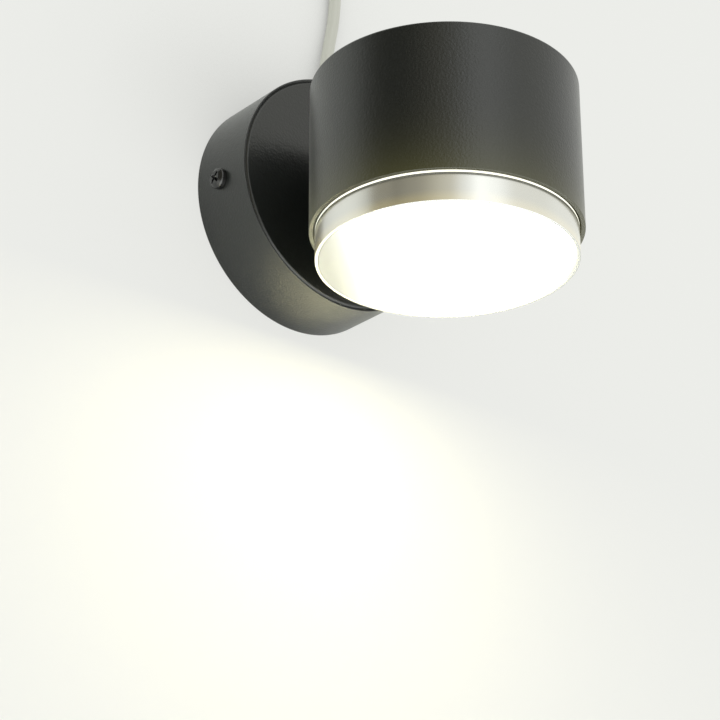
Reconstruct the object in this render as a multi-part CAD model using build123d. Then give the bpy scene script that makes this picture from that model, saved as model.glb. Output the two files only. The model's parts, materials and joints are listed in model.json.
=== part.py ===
from build123d import *
from math import cos, radians, sin, sqrt
import os

# Pivoting spotlight wall light.
# Millimetres. +Z is up and +Y points into the wall. The origin is the centre of the base's
# back, on the wall face, and it lies on the swivel axis, which runs along Y.
# "Clock" angles turn about Y from +Z (12 o'clock) towards +X.

# ---- base on the wall ----
BASE_RADIUS = 47.9
BASE_DEPTH = 29.0
BASE_WALL = 1.8
BASE_EDGE_BEVEL = 0.2
PLATE_THICKNESS = 2.5
RIM_LIP = 1.0
RIM_CHAMFER = 0.7
PLATE_FIT = 0.05

# ---- wall bracket ----
STRAP_THICKNESS = 1.5
STRAP_WIDTH = 22.0
STRAP_HALF_LENGTH = 38.0
TAB_WIDTH = 12.0
TAB_LENGTH = 20.0
TAB_WALL_CLEARANCE = 0.3
BEND_RADIUS = 1.0
SLOT_SPACING = 56.0
SLOT_LENGTH = 12.0
SLOT_WIDTH = 5.0

# ---- side screws, M4 pan heads ----
SIDE_SCREW_CLOCK = 94.7
SIDE_SCREW_DEPTH = 14.2
M4_RADIUS = 2.0
M4_HEAD_RADIUS = 4.0
M4_HEAD_HEIGHT = 3.1
M4_CLEARANCE = 0.25
SIDE_SCREW_REACH = 8.0

# ---- small screws, M3 pan heads ----
M3_RADIUS = 1.5
M3_HEAD_RADIUS = 2.8
M3_HEAD_HEIGHT = 2.2
M3_CLEARANCE = 0.1
THREAD_END_SPARE = 0.5

# ---- side screw's head, as shares of its height or radius ----
HEAD_BEVEL_SHARE = 0.35
RECESS_DEPTH_SHARE = 0.6
RECESS_LENGTH_SHARE = 1.1
RECESS_WIDTH_SHARE = 0.26

# ---- swivel ----
TUBE_RADIUS = 5.0
TUBE_BORE_RADIUS = 3.5
TUBE_END_SPARE = 2.0
RUNNING_CLEARANCE = 0.05
FACE_CLEARANCE = 0.05
BASE_TO_HEAD_GAP = 8.85
COLLAR_RADIUS = 12.0
COLLAR_CHAMFER = 0.6
FRICTION_WASHER_RADIUS = 11.0
FRICTION_WASHER_THICKNESS = 0.5
THRUST_WASHER_RADIUS = 12.0
THRUST_WASHER_THICKNESS = 0.8
STOP_WASHER_RADIUS = 11.0
STOP_WASHER_THICKNESS = 1.2
STOP_PIN_RADIUS = 1.2
STOP_PIN_CIRCLE = 15.0
STOP_PIN_SEAT = 1.5
STOP_TAB_REACH = 2.0
STOP_CLEARANCE = 0.2
SWIVEL_LIMIT = 170.0
SPRING_RADIUS = 9.5
SPRING_THICKNESS = 0.6
SPRING_HEIGHT = 1.4
SPRING_CLEARANCE = 0.2
NUT_FLATS = 14.0
NUT_THICKNESS = 3.0
SADDLE_RADIUS = 9.5
SADDLE_THICKNESS = 2.5
BUSH_FLANGE_RADIUS = 4.6
BUSH_FLANGE_THICKNESS = 0.8
BUSH_LENGTH = 5.0
BUSH_BORE_RADIUS = 2.2

# ---- head ----
HEAD_RADIUS = 50.0
HEAD_HEIGHT = 58.8
HEAD_WALL = 1.5
HEAD_TOP_THICKNESS = 2.0
HEAD_TOP_ROUND = 1.0
HEAD_ABOVE_AXIS = 18.7

# ---- lamp body: heat sink and skirt in one casting ----
LAMP_BODY_CLEARANCE = 1.5
LAMP_PLATE_BELOW_AXIS = 13.0
LAMP_PLATE_THICKNESS = 4.0
SKIRT_WALL = 2.0
FIN_COUNT = 18
FIN_THICKNESS = 1.3
FIN_INNER_RADIUS = 9.0
FIN_FROM_SKIRT = 11.0
FIN_HEIGHT = 11.0
FIN_BEVEL = 5.0
PILLAR_FROM_SKIRT = 9.0
PILLAR_FLATS = 6.0
PILLAR_ANGLES = (30.0, 150.0, 270.0)
PILLAR_THREAD_DEPTH = 8.0
BOSS_RADIUS = 5.0
BOSS_HEIGHT = 3.0
BOSS_AIR_GAP = 0.8

# ---- light source and optics ----
BOARD_THICKNESS = 1.6
BOARD_NECK_GAP = 2.0
BOARD_SCREW_INSET = 3.5
BOARD_SCREW_ANGLES = (0.0, 120.0, 240.0)
CHIP_SIZE = 3.0
CHIP_HEIGHT = 0.8
CHIP_SCREW_SPACING = 7.0
INNER_CHIP_RATIO = 0.45
INNER_CHIP_COUNT = 6
OUTER_CHIP_COUNT = 12
REFLECTOR_SCREW_GAP = 2.2
REFLECTOR_FLANGE = 4.0
REFLECTOR_WALL = 1.0
REFLECTOR_MOUTH_LAND = 2.0
REFLECTOR_CLEARANCE = 0.3
RING_PROTRUSION = 11.3
RING_GAP = 0.7
RING_LIP = 1.2
RING_EDGE_CHAMFER = 0.3
RING_BEAD_HEIGHT = 1.0
RING_BEAD_BELOW_RIM = 0.8
RING_GROOVE_WIDTH = 0.4
RING_GROOVE_DEPTH = 0.35
SPIGOT_WALL = 1.5
SPIGOT_LENGTH = 5.4
DIFFUSER_THICKNESS = 3.0
DIFFUSER_FIT = 0.1
GASKET_THICKNESS = 1.0
GASKET_INSET = 0.2

# ---- driver and terminal block in the base ----
DRIVER_WIDTH = 40.0
DRIVER_THICKNESS = 17.0
DRIVER_STOP_CLEARANCE = 1.0
DRIVER_RING_CLEARANCE = 1.4
DRIVER_EDGE_BEVEL = 1.2
PAD_THICKNESS = 1.0
PAD_INSET = 3.0
BLOCK_LEFT_OF_AXIS = 4.0
BLOCK_STOP_CLEARANCE = 1.5
BLOCK_WIDTH = 12.0
BLOCK_THICKNESS = 11.0
BLOCK_WEB_SHARE = 0.6
BLOCK_POLE_SPACING = 12.0
POLE_RADIUS = 3.0
POLE_BEVEL = 0.8
TERMINAL_SCREW_RADIUS = 1.3
TERMINAL_SCREW_SPACING = 5.6
TERMINAL_SCREW_LENGTH = 3.0
TERMINAL_SCREW_SUNK = 0.5
WIRE_ENTRY_RADIUS = 1.5

# ---- supply lead ----
LEAD_RADIUS = 2.5
LEAD_CLOCK = 9.0
LEAD_DEPTH = 4.3
GROMMET_BORE_CLEARANCE = 0.05
GROMMET_WAIST_RADIUS = 3.6
GROMMET_FLANGE_RADIUS = 5.0
GROMMET_FLANGE_THICKNESS = 1.2
GROMMET_NOSE_RADIUS = 3.3
GROMMET_NOSE_LENGTH = 8.0
GROMMET_WALL_CLEARANCE = 0.2
GROMMET_SEAT_SAG = 0.35
TIE_THICKNESS = 1.2
TIE_WIDTH = 2.6
TIE_HEAD = 4.4
TIE_GAP = 0.6
LEAD_FIRST_RUN = 10.85
LEAD_BEND_INSET = 10.1
LEAD_TAIL_TURN = (0.8, -4.3, -6.0)

# ---- wires and cable ----
WIRE_RADIUS = 0.9
WIRE_PAIR_GAP = 0.2
WIRE_SPACING = 3.0
WIRE_BOW = 4.0
CABLE_RADIUS = 1.8
CABLE_HOLE_CLEARANCE = 1.0
CABLE_ENTRY_X = 9.0
CABLE_RISE = 6.0
CABLE_TURN_DEPTH = 6.2
CORE_LENGTH = 18.0
CORE_KNEE = 5.0
CORE_SPREAD = 2.2
TAIL_CORE_KNEE = 3.0
TAIL_CORE_RUN = 6.0
FERRULE_RADIUS = 0.75
FERRULE_LENGTH = 7.0

# ---- places worked out from the sizes above ----
BASE_BORE_RADIUS = BASE_RADIUS - BASE_WALL
PLATE_SEAT_RADIUS = BASE_RADIUS - RIM_LIP
PLATE_BACK_Y = PLATE_THICKNESS - BASE_DEPTH
HEAD_AXIS_Y = -(BASE_DEPTH + BASE_TO_HEAD_GAP + HEAD_RADIUS)
HEAD_BORE_RADIUS = HEAD_RADIUS - HEAD_WALL
HEAD_RIM_Z = HEAD_ABOVE_AXIS - HEAD_HEIGHT
HEAD_CEILING_Z = HEAD_ABOVE_AXIS - HEAD_TOP_THICKNESS
RING_BOTTOM_Z = HEAD_RIM_Z - RING_PROTRUSION
RING_RADIUS = HEAD_BORE_RADIUS - RING_GAP
RING_SHOULDER_Z = HEAD_RIM_Z - RING_BEAD_BELOW_RIM + RING_BEAD_HEIGHT + RING_EDGE_CHAMFER
DIFFUSER_SEAT_RADIUS = RING_RADIUS - RING_LIP
DIFFUSER_BACK_Z = RING_BOTTOM_Z + DIFFUSER_THICKNESS
RING_LEDGE_Z = DIFFUSER_BACK_Z + GASKET_THICKNESS
LAMP_BODY_RADIUS = HEAD_BORE_RADIUS - LAMP_BODY_CLEARANCE
SKIRT_BORE_RADIUS = LAMP_BODY_RADIUS - SKIRT_WALL
FIN_OUTER_RADIUS = SKIRT_BORE_RADIUS - FIN_FROM_SKIRT
PILLAR_CIRCLE = SKIRT_BORE_RADIUS - PILLAR_FROM_SKIRT
REFLECTOR_FLANGE_RADIUS = PILLAR_CIRCLE - M3_HEAD_RADIUS - REFLECTOR_SCREW_GAP
REFLECTOR_NECK_RADIUS = REFLECTOR_FLANGE_RADIUS - REFLECTOR_FLANGE
BOARD_RADIUS = REFLECTOR_NECK_RADIUS - BOARD_NECK_GAP
BOARD_SCREW_CIRCLE = BOARD_RADIUS - BOARD_SCREW_INSET
OUTER_CHIP_CIRCLE = BOARD_SCREW_CIRCLE - CHIP_SCREW_SPACING
SPIGOT_RADIUS = SKIRT_BORE_RADIUS - RUNNING_CLEARANCE
SPIGOT_BORE_RADIUS = SPIGOT_RADIUS - SPIGOT_WALL
LAMP_PLATE_TOP_Z = -LAMP_PLATE_BELOW_AXIS
LAMP_PLATE_UNDERSIDE_Z = LAMP_PLATE_TOP_Z - LAMP_PLATE_THICKNESS
BOARD_UNDERSIDE_Z = LAMP_PLATE_UNDERSIDE_Z - BOARD_THICKNESS
CABLE_HOLE_RADIUS = CABLE_RADIUS + CABLE_HOLE_CLEARANCE
STOP_TAB_RADIUS = STOP_PIN_CIRCLE + STOP_TAB_REACH

# Along the swivel axis, from the plate's back into the base ...
THRUST_WASHER_END_Y = PLATE_BACK_Y + THRUST_WASHER_THICKNESS
STOP_WASHER_START_Y = THRUST_WASHER_END_Y + FACE_CLEARANCE
STOP_WASHER_END_Y = STOP_WASHER_START_Y + STOP_WASHER_THICKNESS
SPRING_END_Y = STOP_WASHER_END_Y + SPRING_HEIGHT
LOCK_NUTS_END_Y = SPRING_END_Y + 2 * NUT_THICKNESS
TUBE_BASE_END_Y = LOCK_NUTS_END_Y + TUBE_END_SPARE
# ... and from the plate's face out to the head.
FRICTION_WASHER_END_Y = -BASE_DEPTH - FRICTION_WASHER_THICKNESS
COLLAR_START_Y = FRICTION_WASHER_END_Y - FACE_CLEARANCE
HEAD_INNER_FACE_Y = HEAD_AXIS_Y + HEAD_BORE_RADIUS
SADDLE_END_Y = HEAD_INNER_FACE_Y - SADDLE_THICKNESS
HEAD_NUT_END_Y = SADDLE_END_Y - NUT_THICKNESS
TUBE_HEAD_END_Y = HEAD_NUT_END_Y - TUBE_END_SPARE
CABLE_JOINT_Y = -BASE_DEPTH

HEAD_PLACE = Pos(0, HEAD_AXIS_Y, 0)
BETWEEN_LAMP_AND_TOP = HEAD_CEILING_Z - LAMP_PLATE_TOP_Z - BOSS_HEIGHT


# ---- helpers ----
def turned_about_y(*points):
    """Solid of revolution about the swivel axis, from (radius, y) points."""
    return revolve(make_face(Polyline(*points, close=True)), Axis.Y)


def turned_about_z(*points):
    """Solid of revolution about Z, from (radius, z) points."""
    return revolve(Plane.XZ * make_face(Polyline(*points, close=True)), Axis.Z)


def rod_y(radius, y_start, y_end):
    """Cylinder on the swivel axis between two depths."""
    length = abs(y_end - y_start)
    return Pos(0, (y_start + y_end) / 2, 0) * Rot(90, 0, 0) * Cylinder(radius, length)


def ring_y(outer, inner, y_start, y_end):
    """Flat washer or tube on the swivel axis."""
    return rod_y(outer, y_start, y_end) - rod_y(inner, y_start - 1, y_end + 1)


def rod_z(radius, z_start, z_end):
    """Cylinder on Z between two heights."""
    return Pos(0, 0, (z_start + z_end) / 2) * Cylinder(radius, abs(z_end - z_start))


def hex_nut_y(y_start, y_end):
    """Thin hexagon nut on the swivel tube."""
    corner = NUT_FLATS / 2 / cos(radians(30))
    blank = extrude(Plane.XZ * RegularPolygon(corner, 6), abs(y_end - y_start) / 2, both=True)
    return Pos(0, (y_start + y_end) / 2, 0) * blank - rod_y(TUBE_RADIUS, y_start - 1, y_end + 1)


def plain_screw(radius, length, head_radius, head_height):
    """Screw along Z: seat at the origin, cylindrical head above it, shank below."""
    return rod_z(head_radius, 0, head_height) + rod_z(radius, 0, -length)


def on_clock(angle, y, radius):
    """Place whose local +Z points out from the swivel axis at a clock angle."""
    return Rot(0, angle, 0) * Pos(0, y, radius)


def round_the_head(angle, radius, z):
    """Place on a circle about the head's own vertical axis."""
    return HEAD_PLACE * Rot(0, 0, angle) * Pos(radius, 0, z)


def route_radii(points, name):
    """Radius of each corner of a route: 0.45 of its shorter run over tan(half the turn)."""
    corners = [Vector(*p) for p in points]
    radii = []
    for before, here, after in zip(corners, corners[1:], corners[2:]):
        turn = (here - before).get_angle(after - here)
        run = min((here - before).length, (after - here).length)
        half_turn = radians(turn / 2)
        radii.append(0.45 * run * cos(half_turn) / sin(half_turn))
    print(name, "radii", [round(r, 1) for r in radii])
    return radii


def tube_on_route(points, radius, name):
    """Round tube along straight runs joined by tangent arcs."""
    path = FilletPolyline(*points, radius=route_radii(points, name))
    tube = sweep(Plane(path @ 0, z_dir=path % 0) * Circle(radius), path=path)
    ideal = Circle(radius).area * path.length
    print(name, "length", round(path.length, 2), "volume ratio", round(tube.volume / ideal, 5))
    return tube


# ---- base ----
def side_screw_places(radius):
    """The two side screws, mirrored left and right, just below the middle."""
    return [on_clock(s * SIDE_SCREW_CLOCK, -SIDE_SCREW_DEPTH, radius) for s in (-1, 1)]


def base_ring():
    """Wall of the base: a tube with a front ledge for the plate and a V groove at the rim."""
    front, bevel = -BASE_DEPTH, BASE_EDGE_BEVEL
    ring = turned_about_y(
        (BASE_BORE_RADIUS, 0), (BASE_RADIUS - bevel, 0), (BASE_RADIUS, -bevel),
        (BASE_RADIUS, front + bevel), (BASE_RADIUS - bevel, front),
        (PLATE_SEAT_RADIUS + RIM_CHAMFER, front), (PLATE_SEAT_RADIUS, front + RIM_CHAMFER),
        (PLATE_SEAT_RADIUS, PLATE_BACK_Y), (BASE_BORE_RADIUS, PLATE_BACK_Y),
    )
    for place in side_screw_places(BASE_RADIUS):
        ring -= place * Cylinder(M4_RADIUS + M4_CLEARANCE, 6 * BASE_WALL)
    notch = Rot(90, 0, 0) * Box(2 * GROMMET_WAIST_RADIUS, 6 * BASE_WALL, LEAD_DEPTH)
    cut = Cylinder(GROMMET_WAIST_RADIUS, 6 * BASE_WALL) + Pos(0, LEAD_DEPTH / 2, 0) * notch
    return ring - on_clock(LEAD_CLOCK, -LEAD_DEPTH, BASE_RADIUS) * cut


def base_front_plate():
    """Disc pressed into the front of the ring, bored for the swivel tube."""
    front, edge = -BASE_DEPTH, PLATE_SEAT_RADIUS - PLATE_FIT
    bore = TUBE_RADIUS + RUNNING_CLEARANCE
    plate = turned_about_y(
        (bore, front), (edge - RIM_CHAMFER, front), (edge, front + RIM_CHAMFER),
        (edge, PLATE_BACK_Y), (bore, PLATE_BACK_Y),
    )
    plate -= Pos(0, 0, STOP_PIN_CIRCLE) * rod_y(
        STOP_PIN_RADIUS, PLATE_BACK_Y - STOP_PIN_SEAT, PLATE_BACK_Y + 1
    )
    screw_hole = rod_y(M3_RADIUS, PLATE_BACK_Y - STOP_PIN_SEAT, PLATE_BACK_Y + 1)
    return plate - BLOCK_CENTRE * screw_hole


def bracket_tab(side):
    """One end of the strap, bent up square to its side screw."""
    outer = sqrt((BASE_BORE_RADIUS - TAB_WALL_CLEARANCE) ** 2 - (TAB_WIDTH / 2) ** 2)
    foot = STRAP_HALF_LENGTH - STRAP_WIDTH / 2
    inner = outer - STRAP_THICKNESS
    profile = Polyline(
        (0, foot), (0, outer), (-TAB_LENGTH, outer), (-TAB_LENGTH, inner),
        (-STRAP_THICKNESS, inner), (-STRAP_THICKNESS, foot), close=True,
    )
    face = make_face(profile)
    corners = face.vertices().filter_by(lambda v: v.X > -TAB_LENGTH + 1)
    outer_bend = corners.filter_by(lambda v: abs(v.X) < 0.01).sort_by(Axis.Y)[-1]
    face = fillet(outer_bend, BEND_RADIUS + STRAP_THICKNESS)
    inner_bend = face.vertices().filter_by(
        lambda v: abs(v.X + STRAP_THICKNESS) < 0.01 and abs(v.Y - inner) < 0.01
    )
    face = fillet(inner_bend, BEND_RADIUS)
    tab = extrude(Plane.YZ * face, TAB_WIDTH / 2, both=True)
    return Rot(0, side * SIDE_SCREW_CLOCK, 0) * tab


def wall_bracket():
    """Steel strap flat on the wall, with two slots and two tapped tabs for the side screws."""
    strap = Box(2 * STRAP_HALF_LENGTH, STRAP_THICKNESS, STRAP_WIDTH)
    strap = fillet(strap.edges().filter_by(Axis.Y), STRAP_THICKNESS * 2)
    bracket = Pos(0, -STRAP_THICKNESS / 2, 0) * strap
    for side in (-1, 1):
        bracket += bracket_tab(side)
    for place in side_screw_places(BASE_BORE_RADIUS):
        bracket -= place * Cylinder(M4_RADIUS, 6 * STRAP_THICKNESS)
    slot = Plane.XZ * SlotOverall(SLOT_LENGTH, SLOT_WIDTH)
    for side in (-1, 1):
        place = Pos(side * SLOT_SPACING / 2, 0, 0)
        bracket -= place * extrude(slot, 2 * STRAP_THICKNESS, both=True)
    return bracket


def side_screws():
    """Two black cross-recess pan-head screws through the ring into the bracket's tabs."""
    screw = plain_screw(M4_RADIUS, SIDE_SCREW_REACH, M4_HEAD_RADIUS, M4_HEAD_HEIGHT)
    screw = chamfer(screw.edges().sort_by(Axis.Z)[-1], M4_HEAD_HEIGHT * HEAD_BEVEL_SHARE)
    depth = M4_HEAD_HEIGHT * RECESS_DEPTH_SHARE
    slot = Box(M4_HEAD_RADIUS * RECESS_LENGTH_SHARE, M4_HEAD_RADIUS * RECESS_WIDTH_SHARE, depth)
    for turn in (0, 90):
        screw -= Rot(0, 0, turn) * Pos(0, 0, M4_HEAD_HEIGHT - depth / 2) * slot
    return [place * screw for place in side_screw_places(BASE_RADIUS)]


# ---- swivel ----
def swivel_tube():
    """Hollow threaded tube that the head hangs on and the cable runs through."""
    return ring_y(TUBE_RADIUS, TUBE_BORE_RADIUS, TUBE_HEAD_END_Y, TUBE_BASE_END_Y)


def neck_collar():
    """Turned spacer between base and head, coped to the head's round wall."""
    far = HEAD_AXIS_Y + HEAD_RADIUS / 2
    collar = turned_about_y(
        (TUBE_RADIUS, COLLAR_START_Y), (COLLAR_RADIUS - COLLAR_CHAMFER, COLLAR_START_Y),
        (COLLAR_RADIUS, COLLAR_START_Y - COLLAR_CHAMFER), (COLLAR_RADIUS, far), (TUBE_RADIUS, far),
    )
    return collar - HEAD_PLACE * Cylinder(HEAD_RADIUS, 4 * COLLAR_RADIUS)


def saddle_washer():
    """Washer inside the head: round-backed against the wall, flat under the nut."""
    near = HEAD_INNER_FACE_Y + HEAD_WALL
    blank = ring_y(SADDLE_RADIUS, TUBE_RADIUS, SADDLE_END_Y, near)
    return blank & (HEAD_PLACE * Cylinder(HEAD_BORE_RADIUS, 4 * SADDLE_RADIUS))


def stop_washer():
    """Washer keyed to the tube, with a tab that meets the stop pin at each limit."""
    disc = rod_y(STOP_WASHER_RADIUS, STOP_WASHER_START_Y, STOP_WASHER_END_Y)
    half_gap = STOP_PIN_CIRCLE * sin(radians(180 - SWIVEL_LIMIT))
    half_width = half_gap - STOP_PIN_RADIUS - STOP_CLEARANCE
    middle = (STOP_WASHER_START_Y + STOP_WASHER_END_Y) / 2
    tab = Box(2 * half_width, STOP_WASHER_THICKNESS, STOP_TAB_RADIUS)
    disc += Pos(0, middle, -STOP_TAB_RADIUS / 2) * tab
    return disc - rod_y(TUBE_RADIUS, PLATE_BACK_Y, 0)


def spring_washer():
    """Dished spring that loads the friction washers."""
    start, end = STOP_WASHER_END_Y, SPRING_END_Y
    inner = TUBE_RADIUS + SPRING_CLEARANCE
    return turned_about_y(
        (inner, end - SPRING_THICKNESS), (SPRING_RADIUS, start),
        (SPRING_RADIUS, start + SPRING_THICKNESS), (inner, end),
    )


def lock_nuts():
    """Two nuts locked against each other behind the spring."""
    middle = SPRING_END_Y + NUT_THICKNESS
    return [hex_nut_y(SPRING_END_Y, middle), hex_nut_y(middle, LOCK_NUTS_END_Y)]


def tube_bushes():
    """Plastic bushes that keep the cable off the tube's two ends."""
    bushes = []
    for end, outward in ((TUBE_BASE_END_Y, 1), (TUBE_HEAD_END_Y, -1)):
        bushes.append(turned_about_y(
            (BUSH_BORE_RADIUS, end + outward * BUSH_FLANGE_THICKNESS),
            (BUSH_FLANGE_RADIUS, end + outward * BUSH_FLANGE_THICKNESS),
            (BUSH_FLANGE_RADIUS, end), (TUBE_BORE_RADIUS, end),
            (TUBE_BORE_RADIUS, end - outward * BUSH_LENGTH),
            (BUSH_BORE_RADIUS, end - outward * BUSH_LENGTH),
        ))
    return bushes


def stop_pin():
    """Pin pressed into the plate's back, straight above the axis."""
    length_end = STOP_WASHER_END_Y + STOP_WASHER_THICKNESS / 2
    pin = rod_y(STOP_PIN_RADIUS, PLATE_BACK_Y - STOP_PIN_SEAT, length_end)
    return Pos(0, 0, STOP_PIN_CIRCLE) * pin


# ---- head ----
def head_housing():
    """Drawn cup, open downwards, with a hole in its wall for the swivel tube."""
    cup = turned_about_z(
        (0, HEAD_ABOVE_AXIS), (HEAD_RADIUS, HEAD_ABOVE_AXIS), (HEAD_RADIUS, HEAD_RIM_Z),
        (HEAD_BORE_RADIUS, HEAD_RIM_Z), (HEAD_BORE_RADIUS, HEAD_CEILING_Z), (0, HEAD_CEILING_Z),
    )
    top_edge = cup.edges().filter_by(GeomType.CIRCLE).group_by(Axis.Z)[-1]
    cup = HEAD_PLACE * fillet(top_edge, HEAD_TOP_ROUND)
    return cup - rod_y(TUBE_RADIUS, HEAD_INNER_FACE_Y - 1, HEAD_INNER_FACE_Y + HEAD_WALL + 1)


def head_pillars():
    """Three hexagon pillars from the ceiling of the cup down to the lamp body."""
    corner = PILLAR_FLATS / 2 / cos(radians(30))
    pillar = extrude(RegularPolygon(corner, 6), BETWEEN_LAMP_AND_TOP)
    pillar -= rod_z(M3_RADIUS, -1, PILLAR_THREAD_DEPTH)
    foot = LAMP_PLATE_TOP_Z + BOSS_HEIGHT
    return [round_the_head(a, PILLAR_CIRCLE, foot) * pillar for a in PILLAR_ANGLES]


def pillar_screws():
    """Screws up through the lamp body into the pillars."""
    reach = LAMP_PLATE_THICKNESS + BOSS_HEIGHT + PILLAR_THREAD_DEPTH - THREAD_END_SPARE
    screw = Rot(180, 0, 0) * plain_screw(M3_RADIUS, reach, M3_HEAD_RADIUS, M3_HEAD_HEIGHT)
    return [round_the_head(a, PILLAR_CIRCLE, LAMP_PLATE_UNDERSIDE_Z) * screw for a in PILLAR_ANGLES]


def cooling_fin():
    """One upright radial fin with its outer top corner cut off."""
    low, high = LAMP_PLATE_TOP_Z, LAMP_PLATE_TOP_Z + FIN_HEIGHT
    profile = make_face(Polyline(
        (FIN_INNER_RADIUS, low), (FIN_OUTER_RADIUS, low), (FIN_OUTER_RADIUS, high - FIN_BEVEL),
        (FIN_OUTER_RADIUS - FIN_BEVEL, high), (FIN_INNER_RADIUS, high), close=True,
    ))
    return extrude(Plane.XZ * profile, FIN_THICKNESS / 2, both=True)


def lamp_body():
    """Casting with radial cooling fins above, bosses for the pillars, and a skirt below."""
    body = turned_about_z(
        (CABLE_HOLE_RADIUS, LAMP_PLATE_TOP_Z), (LAMP_BODY_RADIUS, LAMP_PLATE_TOP_Z),
        (LAMP_BODY_RADIUS, RING_SHOULDER_Z), (SKIRT_BORE_RADIUS, RING_SHOULDER_Z),
        (SKIRT_BORE_RADIUS, LAMP_PLATE_UNDERSIDE_Z), (CABLE_HOLE_RADIUS, LAMP_PLATE_UNDERSIDE_Z),
    )
    fin_top, boss_top = LAMP_PLATE_TOP_Z + FIN_HEIGHT, LAMP_PLATE_TOP_Z + BOSS_HEIGHT
    fins = [Rot(0, 0, n * 360 / FIN_COUNT) * cooling_fin() for n in range(FIN_COUNT)]
    pillars = [Rot(0, 0, a) * Pos(PILLAR_CIRCLE, 0, 0) for a in PILLAR_ANGLES]
    air = rod_z(BOSS_RADIUS + BOSS_AIR_GAP, LAMP_PLATE_TOP_Z, fin_top + 1)
    body += Part() + fins - [place * air for place in pillars]
    body += [place * rod_z(BOSS_RADIUS, LAMP_PLATE_TOP_Z, boss_top) for place in pillars]
    hole = rod_z(M3_RADIUS + M3_CLEARANCE, LAMP_PLATE_UNDERSIDE_Z - 1, boss_top + 1)
    body -= [place * hole for place in pillars]
    tapped = rod_z(M3_RADIUS, LAMP_PLATE_UNDERSIDE_Z - 1, LAMP_PLATE_TOP_Z - THREAD_END_SPARE)
    body -= [Rot(0, 0, a) * Pos(BOARD_SCREW_CIRCLE, 0, 0) * tapped for a in BOARD_SCREW_ANGLES]
    return HEAD_PLACE * body


def led_board():
    """Aluminium-backed round board under the lamp body's plate."""
    board = HEAD_PLACE * rod_z(BOARD_RADIUS, BOARD_UNDERSIDE_Z, LAMP_PLATE_UNDERSIDE_Z)
    hole = Cylinder(M3_RADIUS + M3_CLEARANCE, 4 * BOARD_THICKNESS)
    places = [round_the_head(a, BOARD_SCREW_CIRCLE, BOARD_UNDERSIDE_Z) for a in BOARD_SCREW_ANGLES]
    return board - [place * hole for place in places]


def board_screws():
    """Screws that clamp the board to the lamp body."""
    reach = BOARD_THICKNESS + LAMP_PLATE_THICKNESS - 2 * THREAD_END_SPARE
    screw = Rot(180, 0, 0) * plain_screw(M3_RADIUS, reach, M3_HEAD_RADIUS, M3_HEAD_HEIGHT)
    places = [round_the_head(a, BOARD_SCREW_CIRCLE, BOARD_UNDERSIDE_Z) for a in BOARD_SCREW_ANGLES]
    return [place * screw for place in places]


def led_chips():
    """Light-emitting chips in two rings on the board."""
    chip = Box(CHIP_SIZE, CHIP_SIZE, CHIP_HEIGHT)
    height = BOARD_UNDERSIDE_Z - CHIP_HEIGHT / 2
    chips = []
    inner_circle = OUTER_CHIP_CIRCLE * INNER_CHIP_RATIO
    for radius, count in ((inner_circle, INNER_CHIP_COUNT), (OUTER_CHIP_CIRCLE, OUTER_CHIP_COUNT)):
        offset = 180 / count
        angles = [offset + n * 360 / count for n in range(count)]
        chips += [round_the_head(a, radius, height) * chip for a in angles]
    return chips


def reflector():
    """White cone from the board to the diffuser, with a flange under the lamp body."""
    top, flange_z = LAMP_PLATE_UNDERSIDE_Z, LAMP_PLATE_UNDERSIDE_Z - REFLECTOR_WALL
    neck, mouth = REFLECTOR_NECK_RADIUS, SPIGOT_BORE_RADIUS - REFLECTOR_CLEARANCE
    bottom = RING_LEDGE_Z + REFLECTOR_CLEARANCE
    cone = turned_about_z(
        (neck, top), (REFLECTOR_FLANGE_RADIUS, top), (REFLECTOR_FLANGE_RADIUS, flange_z),
        (neck + REFLECTOR_WALL, flange_z), (mouth, bottom + REFLECTOR_MOUTH_LAND),
        (mouth, bottom), (mouth - REFLECTOR_WALL, bottom), (neck, flange_z - REFLECTOR_WALL),
    )
    return HEAD_PLACE * cone


def trim_ring():
    """Satin ring that stands out of the cup: bead and fine groove at the rim, seat below."""
    bead_low = HEAD_RIM_Z - RING_BEAD_BELOW_RIM
    groove_low = bead_low - RING_GROOVE_WIDTH
    edge = RING_EDGE_CHAMFER
    ring = turned_about_z(
        (RING_RADIUS - edge, RING_BOTTOM_Z), (RING_RADIUS, RING_BOTTOM_Z + edge),
        (RING_RADIUS, groove_low), (RING_RADIUS - RING_GROOVE_DEPTH, groove_low),
        (RING_RADIUS - RING_GROOVE_DEPTH, bead_low), (RING_RADIUS, bead_low),
        (RING_RADIUS, RING_SHOULDER_Z - edge), (RING_RADIUS - edge, RING_SHOULDER_Z),
        (SPIGOT_RADIUS, RING_SHOULDER_Z), (SPIGOT_RADIUS, RING_SHOULDER_Z + SPIGOT_LENGTH),
        (SPIGOT_BORE_RADIUS, RING_SHOULDER_Z + SPIGOT_LENGTH), (SPIGOT_BORE_RADIUS, RING_LEDGE_Z),
        (DIFFUSER_SEAT_RADIUS, RING_LEDGE_Z), (DIFFUSER_SEAT_RADIUS, RING_BOTTOM_Z + edge),
        (DIFFUSER_SEAT_RADIUS + edge, RING_BOTTOM_Z),
    )
    return HEAD_PLACE * ring


def diffuser():
    """Opal disc flush with the ring's lower edge."""
    disc = rod_z(DIFFUSER_SEAT_RADIUS - DIFFUSER_FIT, RING_BOTTOM_Z, DIFFUSER_BACK_Z)
    return HEAD_PLACE * chamfer(disc.edges().group_by(Axis.Z)[0], RING_EDGE_CHAMFER)


def diffuser_gasket():
    """Soft ring between the diffuser and the ledge of the trim ring."""
    inner = SPIGOT_BORE_RADIUS + GASKET_INSET
    outer = DIFFUSER_SEAT_RADIUS - GASKET_INSET
    ring = rod_z(outer, DIFFUSER_BACK_Z, RING_LEDGE_Z)
    return HEAD_PLACE * (ring - rod_z(inner, DIFFUSER_BACK_Z - 1, RING_LEDGE_Z + 1))


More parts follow.
